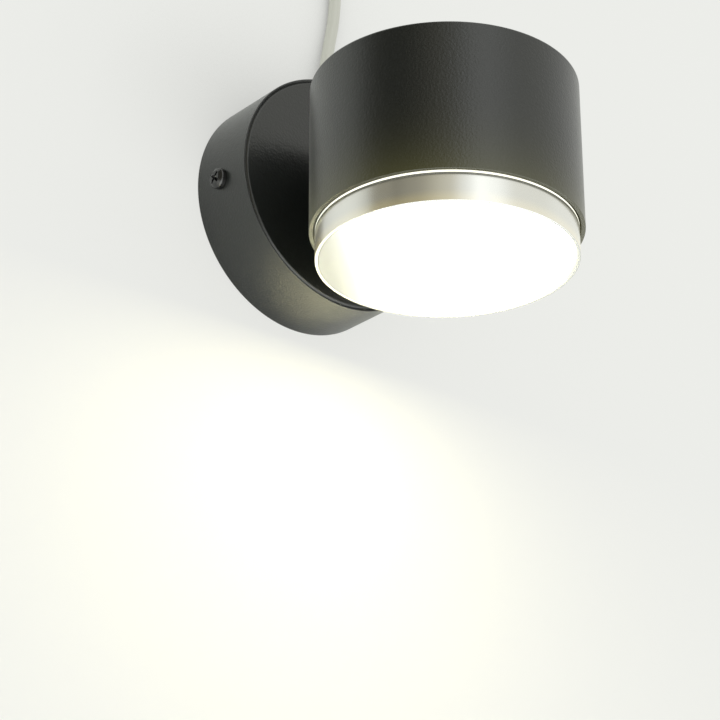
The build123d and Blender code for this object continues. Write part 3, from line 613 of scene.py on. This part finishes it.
def outline(corners: Sequence[Corner], closed: bool) -> np.ndarray:
    """Points of a profile, with each corner rounded by an arc tangent to its two sides.

    The arc starts at round * tan(half the turn) from the corner on both sides. A support point
    stands just outside each arc, so that the flats beside it shade flat.

    Args:
        corners: the corners, anticlockwise with the radius to the right.
        closed: whether the last corner joins the first.
    Returns:
        Array of (radius, along) rows.
    """
    points = np.array([(c.radius, c.along) for c in corners], float)
    rows = []
    for index, corner in enumerate(corners):
        here = points[index]
        if not closed and index in (0, len(corners) - 1):
            rows.append(here[None])
            continue
        back, ahead = points[index - 1] - here, points[(index + 1) % len(points)] - here
        back_length, ahead_length = np.hypot(*back), np.hypot(*ahead)
        back, ahead = back / back_length, ahead / ahead_length
        turn = math.pi - math.acos(float(np.clip(back @ ahead, -1, 1)))
        reach = corner.round * math.tan(turn / 2)
        start, end = here + back * reach, here + ahead * reach
        support = min(SUPPORT, SUPPORT_SHARE * (min(back_length, ahead_length) - reach))
        if corner.round:
            steps = max(2, math.ceil(turn / ARC_STEP))
            towards = back + ahead
            centre = here + towards / np.hypot(*towards) * corner.round / math.cos(turn / 2)
            first, last = start - centre, end - centre
            share = np.linspace(0, 1, steps + 1)[:, None]
            arc = (np.sin((1 - share) * turn) * first + np.sin(share * turn) * last) / math.sin(turn)
            arc = centre + arc
        else:
            arc = here[None]
        rows.append(np.concatenate([start[None] + back * support, arc, end[None] + ahead * support]))
    return np.concatenate(rows)


def show(name: str, data: bpy.types.ID) -> bpy.types.Object:
    """Puts a mesh, a curve or a camera into the scene.

    Args:
        name: the object's name.
        data: what the object holds.
    Returns:
        The object, at the origin.
    """
    made = bpy.data.objects.new(name, data)
    bpy.context.scene.collection.objects.link(made)
    return made


def lathe(
    name: str,
    profile: np.ndarray,
    place: Matrix,
    closed: bool,
    segments: int,
    shape: Optional[Callable[[np.ndarray], np.ndarray]] = None,
) -> bpy.types.Object:
    """Turns a profile about local Z and writes it as a mesh in the row frame.

    A point of the profile at radius r and height h becomes (r cos a, r sin a, h) for each
    angle a. Where an open profile starts and ends on the axis, one point closes it.

    Args:
        name: the object's name.
        profile: (radius, along) rows, anticlockwise.
        place: turns and moves the local frame into the row frame.
        closed: whether the profile is a loop clear of the axis.
        segments: steps round the axis.
        shape: moves the local points, when given.
    Returns:
        The object, at the origin.
    """
    rings = profile if closed else profile[1:-1]
    angle = np.linspace(0, 2 * math.pi, segments, endpoint=False)
    radius, along = rings[:, :1], rings[:, 1:]
    x, y = radius * np.cos(angle), radius * np.sin(angle)
    grid = np.stack([x, y, np.broadcast_to(along, x.shape)], axis=-1).reshape(-1, 3)
    count = len(rings)
    index = np.arange(count * segments).reshape(count, segments)
    beside = np.roll(index, -1, axis=1)
    above, above_beside = np.roll(index, -1, axis=0), np.roll(beside, -1, axis=0)
    kept = slice(None) if closed else slice(0, -1)
    quads = np.stack([index[kept], beside[kept], above_beside[kept], above[kept]], axis=-1)
    faces = quads.reshape(-1, 4).tolist()
    if not closed:
        low, high = len(grid), len(grid) + 1
        ends = np.array([[0, 0, profile[0, 1]], [0, 0, profile[-1, 1]]])
        grid = np.concatenate([grid, ends])
        floor = np.stack([np.full(segments, low), beside[0], index[0]], axis=-1)
        roof = np.stack([index[-1], beside[-1], np.full(segments, high)], axis=-1)
        faces += floor.tolist() + roof.tolist()
    if shape is not None:
        grid = shape(grid)
    turned = np.array(place.to_3x3())
    points = (grid @ turned.T + np.array(place.translation)) * MM
    mesh = bpy.data.meshes.new(name)
    mesh.from_pydata(points.tolist(), [], faces)
    mesh.polygons.foreach_set("use_smooth", np.ones(len(faces), bool))
    mesh.update()
    LOG.info("%s: %d faces", name, len(faces))
    return show(name, mesh)


def wear(
    made: bpy.types.Object, body: Body, slot: str, wardrobe: Wardrobe, nodes: Sequence[str],
    look: Optional[str] = None,
) -> None:
    """Dresses a piece, lets it ride on its body and stand for its CAD nodes.

    Args:
        made: the piece.
        body: the body it rides on.
        slot: the record's material slot.
        wardrobe: where the material comes from.
        nodes: the CAD nodes it replaces.
        look: name of the finish, where it isn't the slot's own.
    """
    made.data.materials.append(wardrobe[look or slot])
    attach(made, body.value)
    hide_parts(*nodes)


# ---------------------------------------------------------------- the light's pieces


@dataclass(frozen=True)
class WallBase:
    """Round base on the wall: a tube with a pressed-in front plate.

    Args:
        radius: outer radius.
        depth: from the wall to the front.
        wall: thickness of the tube.
        plate: thickness of the front plate.
        lip: width of the tube's lip round the plate.
        groove: depth of the V groove between lip and plate.
        bore: radius of the hole for the swivel tube.
        gap: gap between the tube and the plate.
        edge: rounding of the outer edges.
        lip_edge: rounding of the lip's inner edge.
        plate_edge: rounding of the plate's edge.
        segments: steps round the axis.
    """

    radius: float = 47.9
    depth: float = 29.0
    wall: float = 1.8
    plate: float = 2.5
    lip: float = 1.0
    groove: float = 0.7
    bore: float = 5.05
    gap: float = 0.05
    edge: float = 0.15
    lip_edge: float = 0.12
    plate_edge: float = 0.95
    segments: int = 256

    def ring(self) -> bpy.types.Object:
        """Builds the tube, open at the wall.

        Returns:
            The tube.
        """
        seat, inner, front = self.radius - self.lip, self.radius - self.wall, self.depth
        profile = outline([
            Corner(inner, 0), Corner(self.radius, 0, self.edge),
            Corner(self.radius, front, self.edge), Corner(seat + self.groove, front, self.lip_edge),
            Corner(seat, front - self.groove), Corner(seat, front - self.plate),
            Corner(inner, front - self.plate),
        ], closed=True)
        return lathe("base_shell", profile, OUT_OF_WALL, closed=True, segments=self.segments)

    def face(self) -> bpy.types.Object:
        """Builds the front plate.

        Returns:
            The plate.
        """
        seat, front = self.radius - self.lip - self.gap, self.depth
        profile = outline([
            Corner(self.bore, front - self.plate), Corner(seat, front - self.plate),
            Corner(seat, front - self.groove), Corner(seat - self.groove, front, self.plate_edge),
            Corner(self.bore, front),
        ], closed=True)
        return lathe("base_face", profile, OUT_OF_WALL, closed=True, segments=self.segments)

    def build(self, wardrobe: Wardrobe) -> None:
        """Builds and dresses both pieces.

        Args:
            wardrobe: where the materials come from.
        """
        wear(self.ring(), Body.BASE, "powder_black", wardrobe, ["base_ring"])
        wear(self.face(), Body.BASE, "powder_black", wardrobe, ["base_front_plate"])


@dataclass(frozen=True)
class SideScrews:
    """Two black pan-head screws with cross recesses in the side of the base.

    Args:
        ring_radius: radius of the base's outside.
        clock: angle from 12 o'clock of each screw.
        depth: distance from the wall.
        head: radius of the head.
        height: height of the head.
        shoulder: share of the height, and of the radius, at which the head's crown begins.
        side_round: rounding between its side and its crown.
        crown_round: rounding between its crown and its flat top.
        seat_round: rounding of its lower edge.
        shank: radius of the shank.
        reach: length of the shank.
        tip_round: rounding of the shank's end.
        arm: length of the recess's arms.
        width: half width of the arms at the top.
        sunk: depth of the recess.
        side_slope: width of the slope beside an arm.
        end_slope: length of the slope at an arm's end.
        cut_from: share of the height above which the recess cuts.
        turn: how far the recess is turned, in degrees.
        rings: rings across the flat top, where the recess is cut.
        middle: radius of the innermost ring.
        segments: steps round the axis.
    """

    ring_radius: float = 47.9
    clock: float = 94.7
    depth: float = 14.2
    head: float = 4.0
    height: float = 3.1
    shoulder: float = 0.62
    side_round: float = 1.0
    crown_round: float = 1.2
    seat_round: float = 0.15
    shank: float = 2.0
    reach: float = 8.0
    tip_round: float = 0.3
    arm: float = 2.6
    width: float = 0.62
    sunk: float = 1.9
    side_slope: float = 0.22
    end_slope: float = 0.9
    cut_from: float = 0.4
    turn: float = 45.0
    rings: int = 90
    middle: float = 0.02
    segments: int = 288

    def recess(self, points: np.ndarray) -> np.ndarray:
        """Sinks the cross into the head's top.

        The depth at a point is the depth of the recess, times a smooth step across the slope
        beside an arm, times a parabola along the slope at its end. The deeper arm counts.

        Args:
            points: local points of the screw.
        Returns:
            The points, with those of the recess sunk.
        """
        turn = math.radians(self.turn)
        x = points[:, 0] * math.cos(turn) + points[:, 1] * math.sin(turn)
        y = points[:, 1] * math.cos(turn) - points[:, 0] * math.sin(turn)
        sunk = np.zeros(len(points))
        for long_way, cross_way in ((x, y), (y, x)):
            side = np.clip((self.width - np.abs(cross_way)) / self.side_slope, 0, 1)
            end = np.clip((self.arm - np.abs(long_way)) / self.end_slope, 0, 1)
            inside = (side * side * (3 - 2 * side)) * (end * (2 - end))
            sunk = np.maximum(sunk, inside)
        top = points[:, 2] > self.cut_from * self.height
        moved = points.copy()
        moved[:, 2] -= np.where(top, sunk * self.sunk, 0)
        return moved

    def profile(self) -> np.ndarray:
        """Profile from the shank's tip to the head's middle, dense where the recess is cut.

        Between the end of the last rounding and the middle, the points are evenly spaced.

        Returns:
            Array of (radius, along) rows.
        """
        rounded = outline([
            Corner(0, -self.reach), Corner(self.shank, -self.reach, self.tip_round),
            Corner(self.shank, 0), Corner(self.head, 0, self.seat_round),
            Corner(self.head, self.shoulder * self.height, self.side_round),
            Corner(self.shoulder * self.head, self.height, self.crown_round),
            Corner(0, self.height),
        ], closed=False)
        share = np.linspace(0, 1, self.rings)[1:-1, None]
        dense = rounded[-3] * (1 - share) + np.array([self.middle, self.height]) * share
        return np.concatenate([rounded[:-2], dense, rounded[-1:]])

    def build(self, wardrobe: Wardrobe) -> None:
        """Builds and dresses both screws.

        Args:
            wardrobe: where the material comes from.
        """
        for side in (-1, 1):
            place = (
                Matrix.Rotation(math.radians(side * self.clock), 4, "Y")
                @ Matrix.Translation((0, -self.depth, self.ring_radius))
            )
            name = "side_screw_left" if side < 0 else "side_screw_right"
            screw = lathe(
                name, self.profile(), place, closed=False, segments=self.segments, shape=self.recess
            )
            wear(screw, Body.BASE, "black_screw", wardrobe, ["side_screws"])


@dataclass(frozen=True)
class LampHead:
    """Drum-shaped head: cup, trim ring and opal diffuser.

    Args:
        radius: outer radius of the cup.
        above: height of its top over the swivel axis.
        height: height of the cup.
        wall: thickness of its wall.
        top: thickness of its top.
        top_round: rounding of its top edge.
        under_round: rounding between its wall and its top inside.
        rim_round: rounding of its rim outside.
        rim_inner_round: rounding of its rim inside.
        from_wall: distance of its axis from the wall.
        ring_radius: outer radius of the trim ring.
        stand_out: how far the trim ring stands out of the cup.
        lip: thickness of the trim ring round the diffuser.
        ring_round: rounding of the trim ring's lower edges.
        bead_over: how far the ring's bead reaches up into the cup.
        bead_under: how far the bead reaches below the cup's rim.
        bead_round: rounding of the bead's upper edge.
        groove: height of the fine groove below the bead.
        groove_depth: depth of that groove.
        fine_round: rounding of the groove's and the diffuser's fine edges.
        spigot_radius: outer radius of the spigot in the cup.
        spigot_bore: inner radius of the spigot.
        spigot: height of the spigot.
        ledge: how far over the diffuser the ring's ledge is, for the gasket.
        diffuser: thickness of the diffuser.
        diffuser_gap: gap between the ring and the diffuser.
        diffuser_round: rounding of the diffuser's front edge.
        segments: steps round the axis of the cup and the ring.
        diffuser_segments: steps round the axis of the diffuser.
    """

    radius: float = 50.0
    above: float = 18.7
    height: float = 58.8
    wall: float = 1.5
    top: float = 2.0
    top_round: float = 1.0
    under_round: float = 0.4
    rim_round: float = 0.2
    rim_inner_round: float = 0.12
    from_wall: float = 87.85
    ring_radius: float = 47.8
    stand_out: float = 11.3
    lip: float = 1.2
    ring_round: float = 0.25
    bead_over: float = 0.5
    bead_under: float = 0.8
    bead_round: float = 0.3
    groove: float = 0.4
    groove_depth: float = 0.35
    fine_round: float = 0.1
    spigot_radius: float = 44.95
    spigot_bore: float = 43.45
    spigot: float = 5.4
    ledge: float = 1.0
    diffuser: float = 3.0
    diffuser_gap: float = 0.1
    diffuser_round: float = 0.3
    segments: int = 320
    diffuser_segments: int = 256

    @property
    def rim(self) -> float:
        """Height of the cup's rim."""
        return self.above - self.height

    @property
    def bottom(self) -> float:
        """Height of the trim ring's lower edge."""
        return self.rim - self.stand_out

    @property
    def place(self) -> Matrix:
        """Frame on the head's own vertical axis."""
        return Matrix.Translation((0, -self.from_wall, 0))

    def cup(self) -> bpy.types.Object:
        """Builds the drawn cup.

        Returns:
            The cup.
        """
        bore, under = self.radius - self.wall, self.above - self.top
        profile = outline([
            Corner(0, under), Corner(bore, under, self.under_round),
            Corner(bore, self.rim, self.rim_inner_round),
            Corner(self.radius, self.rim, self.rim_round),
            Corner(self.radius, self.above, self.top_round), Corner(0, self.above),
        ], closed=False)
        return lathe("head_cup", profile, self.place, closed=False, segments=self.segments)

    def ring(self) -> bpy.types.Object:
        """Builds the trim ring with its bead, fine groove and spigot.

        Returns:
            The ring.
        """
        outer, seat = self.ring_radius, self.ring_radius - self.lip
        shoulder, bead_low = self.rim + self.bead_over, self.rim - self.bead_under
        groove_low, groove_floor = bead_low - self.groove, outer - self.groove_depth
        spigot_top, ledge = shoulder + self.spigot, self.bottom + self.diffuser + self.ledge
        profile = outline([
            Corner(seat, self.bottom, self.ring_round), Corner(outer, self.bottom, self.ring_round),
            Corner(outer, groove_low, self.fine_round), Corner(groove_floor, groove_low),
            Corner(groove_floor, bead_low), Corner(outer, bead_low, self.fine_round),
            Corner(outer, shoulder, self.bead_round), Corner(self.spigot_radius, shoulder),
            Corner(self.spigot_radius, spigot_top), Corner(self.spigot_bore, spigot_top),
            Corner(self.spigot_bore, ledge), Corner(seat, ledge),
        ], closed=True)
        return lathe("head_trim", profile, self.place, closed=True, segments=self.segments)

    def disc(self) -> bpy.types.Object:
        """Builds the diffuser, flush with the ring's edge.

        Returns:
            The diffuser.
        """
        edge, back = self.ring_radius - self.lip - self.diffuser_gap, self.bottom + self.diffuser
        profile = outline([
            Corner(0, self.bottom), Corner(edge, self.bottom, self.diffuser_round),
            Corner(edge, back, self.fine_round), Corner(0, back),
        ], closed=False)
        return lathe(
            "head_diffuser", profile, self.place, closed=False, segments=self.diffuser_segments
        )

    def build(self, wardrobe: Wardrobe) -> None:
        """Builds and dresses the visible pieces of the head.

        Args:
            wardrobe: where the materials come from.
        """
        wear(self.cup(), Body.HEAD, "powder_black", wardrobe, ["head_housing"], look="lit_coat")
        wear(self.ring(), Body.HEAD, "satin_aluminium", wardrobe, ["trim_ring"])
        wear(self.disc(), Body.HEAD, "opal_acrylic", wardrobe, ["diffuser"])


@dataclass(frozen=True)
class SupplyLead:
    """Free supply lead that comes out of the top of the base and lies on the wall.

    Args:
        radius: radius of the sheath.
        clock: angle of its exit from 12 o'clock.
        off_wall: distance of its exit from the wall.
        start: distance of its start from the swivel axis.
        first_run: length of the run on the grommet's axis.
        bends: the other points of its route.
        length: real length of the jacket; not used.
        round_steps: steps that round a quarter of the sheath.
        run_steps: steps between two points of the route.
    """

    radius: float = 2.5
    clock: float = 9.0
    off_wall: float = 4.3
    start: float = 57.15
    first_run: float = 10.85
    bends: tuple[Triple, ...] = (
        (14.1, -2.75, 82.0), (17.2, -2.6, 97.5), (18.2, -2.6, 112.5), (17.0, -2.6, 128.0),
        (13.6, -2.6, 145.5), (11.7, -2.6, 164.6),
    )
    length: float = 109.5
    round_steps: int = 8
    run_steps: int = 16

    def on_axis(self, distance: float) -> Triple:
        """Point on the grommet's axis at a distance from the swivel axis."""
        turn = math.radians(self.clock)
        return (distance * math.sin(turn), -self.off_wall, distance * math.cos(turn))

    def route(self) -> np.ndarray:
        """Points of the route, as in the CAD."""
        first = [self.on_axis(self.start), self.on_axis(self.start + self.first_run)]
        return np.array([*first, *self.bends])

    def build(self, wardrobe: Wardrobe, nodes: Mapping[str, bpy.types.Object]) -> None:
        """Args:
            wardrobe: where the material comes from.
            nodes: the frame's nodes, in which the pieces on the lead are looked up and left as they
                are.
        """
        route = self.route() * MM
        curve = bpy.data.curves.new("lead_sheath", "CURVE")
        curve.dimensions = "3D"
        curve.bevel_depth = self.radius * MM
        curve.bevel_resolution = self.round_steps
        curve.resolution_u = self.run_steps
        curve.use_fill_caps = True
        spline = curve.splines.new("NURBS")
        spline.points.add(len(route) - 1)
        spline.points.foreach_set("co", np.c_[route, np.ones(len(route))].ravel())
        spline.order_u = 3
        spline.use_endpoint_u = True
        made = show("lead_sheath", curve)
        wear(made, Body.BASE, "lead_grey", wardrobe, ["supply_lead"])
        pieces = [nodes[n] for n in ("lead_cores", "core_ferrules", "cord_grommet")]
        tuple(route[0])
        2 * self.radius * MM
        LOG.info("supply lead: %d points", len(route))


# ---------------------------------------------------------------- the room


@dataclass(frozen=True)
class Room:
    """Pale wall behind the light, and the surroundings.

    Args:
        wall_size: side of the wall's square in millimetres.
        wall_hole: radius of the hole behind the base, which the base covers from the front.
        wall_steps: steps round the hole.
        set_back: distance from the base's back to the wall's face.
        paint: linear RGB of the paint.
        paint_roughness: roughness of the paint.
        paint_specular: level of its mirror-like part.
        wall_seen: linear RGB of the backdrop colour on the wall.
        wall_share: share of the camera's view of the wall that is backdrop colour.
        shade: share of the backdrop colour that goes where pieces hide the whole sky.
        shade_reach: how near a piece must be to shade it.
        shade_heights: heights on the wall between which the shade sets in.
        shade_samples: rays that measure the shade at a point.
        wall_fading: distances along X between which reflections lose sight of the wall.
        ambient: strength of the surroundings for diffuse light.
        tint: colour of that light.
        dusk: colour that reflections see where the surroundings are dark.
        dusk_levels: strengths between which the dusk's colour gives way to the tint.
        skyline: heading in degrees from +X towards +Y, and the strength that reflections see.
        floor: strength that reflections see below.
        floor_slopes: how far down, as a share of straight down, the floor sets in and is full.
    """

    wall_size: float = 6000.0
    wall_hole: float = 45.0
    wall_steps: int = 256
    set_back: float = 0.3
    paint: Triple = (0.84, 0.85, 0.83)
    paint_roughness: float = 0.8
    paint_specular: float = 0.1
    wall_seen: Triple = (0.846, 0.851, 0.822)
    wall_share: float = 0.8
    shade: float = 0.65
    shade_reach: float = 85.0
    shade_heights: Pair = (-10.0, 60.0)
    shade_samples: int = 4
    wall_fading: Pair = (70.0, 420.0)
    ambient: float = 1.0
    tint: Triple = (0.985, 1.0, 0.965)
    dusk: Triple = (1.0, 0.93, 0.70)
    dusk_levels: Pair = (0.2, 0.9)
    skyline: tuple[Pair, ...] = (
        (-180.0, 0.02), (-160.0, 0.12), (-130.0, 0.45), (-117.0, 0.80), (-104.0, 1.25),
        (-92.0, 1.10), (-70.0, 0.72), (-45.0, 0.72), (-20.0, 0.80), (60.0, 0.75), (160.0, 0.10),
    )
    floor: float = 2.2
    floor_slopes: Pair = (0.25, 0.75)

    def wall(self) -> None:
        """Builds the wall with its hole.

        A point of the hole at angle a is the hole's radius times (cos a, sin a). The point
        beside it on the outer edge is half the side times the same, divided by the greater of
        the two.
        """
        angle = np.linspace(0, 2 * math.pi, self.wall_steps, endpoint=False)
        unit = np.stack([np.cos(angle), np.sin(angle)], axis=-1)
        square = self.wall_size / 2 * unit / np.abs(unit).max(axis=1)[:, None]
        flat = np.concatenate([self.wall_hole * unit, square])
        points = np.stack([flat[:, 0], np.full(len(flat), self.set_back), flat[:, 1]], axis=-1)
        inner = np.arange(len(angle))
        beside = np.roll(inner, -1)
        faces = np.stack([inner, inner + len(angle), beside + len(angle), beside], axis=-1)
        mesh = bpy.data.meshes.new("wall")
        mesh.from_pydata((points * MM).tolist(), [], faces.tolist())
        mesh.materials.append(self.wall_paint())
        show("wall", mesh)

    def wall_paint(self) -> bpy.types.Material:
        """Builds the wall's material.

        The camera sees mostly the backdrop colour, less where pieces hide the sky from the
        wall. Reflections see the paint near the light and the surroundings beyond. From behind
        the wall is clear, so that rear views see the light.

        Returns:
            The material.
        """
        made = bpy.data.materials.new("wall_paint")
        shader = Shader(made)
        path = shader.node("LightPath")
        paint = {
            "Base Color": self.paint, "Roughness": self.paint_roughness,
            "Specular IOR Level": self.paint_specular,
        }
        painted = shader.node("BsdfPrincipled", paint)["BSDF"]
        near = {"Distance": self.shade_reach * MM}
        open_share = shader.node("AmbientOcclusion", near, samples=self.shade_samples)["AO"]
        shaded = (1.0 - open_share) * shader.along("Z").step(*self.shade_heights) * self.shade
        seen = shader.mix(shaded, self.wall_seen, BLACK)
        backdrop = shader.node("Emission", {"Color": seen})[0]
        surface = shader.blend(path["Is Camera Ray"] * self.wall_share, painted, backdrop)
        clear = shader.node("BsdfTransparent")["BSDF"]
        behind = shader.node("NewGeometry")["Backfacing"]
        lost = path["Is Glossy Ray"] * abs(shader.along("X")).step(*self.wall_fading)
        shader.finish(shader.blend(behind.or_more(lost), surface, clear))
        return made

    def surroundings(self) -> None:
        """Sets the world: even diffuse light, a white backdrop, and a skyline that metal mirrors.

        The skyline's strength is a chain of smooth steps over the heading, from stop to stop.
        """
        world = bpy.data.worlds.new("room")
        bpy.context.scene.world = world
        shader = Shader(world)
        path = shader.node("LightPath")
        towards = shader.node("TexCoord")["Generated"]
        axes = shader.node("SeparateXYZ", {"Vector": towards})
        heading = axes["Y"].heading(axes["X"])
        shown: Term = self.skyline[0][1]
        for (start, low), (end, high) in zip(self.skyline, self.skyline[1:]):
            shown = shown + heading.step(start, end) * (high - low)
        down = (0.0 - axes["Z"]).step(*self.floor_slopes)
        shown = shown + down * (self.floor - shown)
        dusky = shader.mix(shown.step(*self.dusk_levels), self.dusk, self.tint)
        lights = ((self.tint, self.ambient), (dusky, shown), (WHITE, 1.0))
        lit, mirrored, backdrop = (
            shader.node("Background", {"Color": colour, "Strength": strength})[0]
            for colour, strength in lights
        )
        seen = path["Is Camera Ray"] + path["Is Transmission Ray"]
        surrounding = shader.blend(path["Is Glossy Ray"], lit, mirrored)
        shader.finish(shader.blend(seen, surrounding, backdrop))

    def build(self) -> None:
        """Builds the wall and the surroundings."""
        self.wall()
        self.surroundings()


@dataclass(frozen=True)
class Camera:
    """Camera of the photograph, found by fitting the outlines.

    Args:
        eye: place in millimetres.
        right: image right in the row frame.
        down: image down.
        ahead: viewing direction.
        focal: focal length in pixels.
        pixels: width of the picture.
        sensor: width of the sensor in millimetres.
        nearest: metres from which the camera sees.
        farthest: metres up to which it sees.
    """

    eye: Triple = (-503.33, -630.38, -415.95)
    right: Triple = (0.76204, -0.64752, -0.0022)
    down: Triple = (0.25979, 0.30884, -0.91494)
    ahead: Triple = (0.59313, 0.69666, 0.40357)
    focal: float = 2291.92
    pixels: float = 720.0
    sensor: float = 36.0
    nearest: float = 0.01
    farthest: float = 20.0

    def build(self) -> None:
        """Creates the camera and makes it the scene's own."""
        data = bpy.data.cameras.new("photo_camera")
        data.sensor_width = self.sensor
        data.lens = self.focal * self.sensor / self.pixels
        data.clip_start, data.clip_end = self.nearest, self.farthest
        made = show("photo_camera", data)
        axes = np.array([self.right, [-v for v in self.down], [-v for v in self.ahead]]).T
        pose = np.eye(4)
        pose[:3, :3], pose[:3, 3] = axes, np.array(self.eye) * MM
        made.matrix_world = Matrix(pose.tolist())
        bpy.context.scene.camera = made


def lit_finishes(head: LampHead) -> dict[str, Finish]:
    """Finishes whose light is placed from the head's sizes.

    Args:
        head: the head.
    Returns:
        Look name to finish.
    """
    coat = FINISHES["powder_black"]
    return {
        "lit_coat": LitCoat(coat.colour, coat.roughness, specular=coat.specular, rim=head.rim),
        "satin_aluminium": TurnedMetal(
            (0.72, 0.73, 0.73), 0.20, metallic=1.0, rim=head.rim, bottom=head.bottom
        ),
        "opal_acrylic": Opal(
            (0.46, 0.47, 0.475), 0.30, centre=(0.0, -head.from_wall),
            radius=head.ring_radius - head.lip,
        ),
    }


def main() -> None:
    """Builds the light's pieces in order, dresses what CAD keeps, and sets the room."""
    logging.basicConfig(level=logging.INFO)
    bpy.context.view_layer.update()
    head = LampHead()
    wardrobe = Wardrobe({**FINISHES, **lit_finishes(head)})
    WallBase().build(wardrobe)
    SideScrews().build(wardrobe)
    head.build(wardrobe)
    SupplyLead().build(wardrobe, frame["nodes"])
    wardrobe.dress_cad(frame["nodes"], frame["record"])
    Room().build()
    Camera().build()
    bpy.context.scene.view_settings.view_transform = "Standard"


if __name__ == "__main__":
    main()
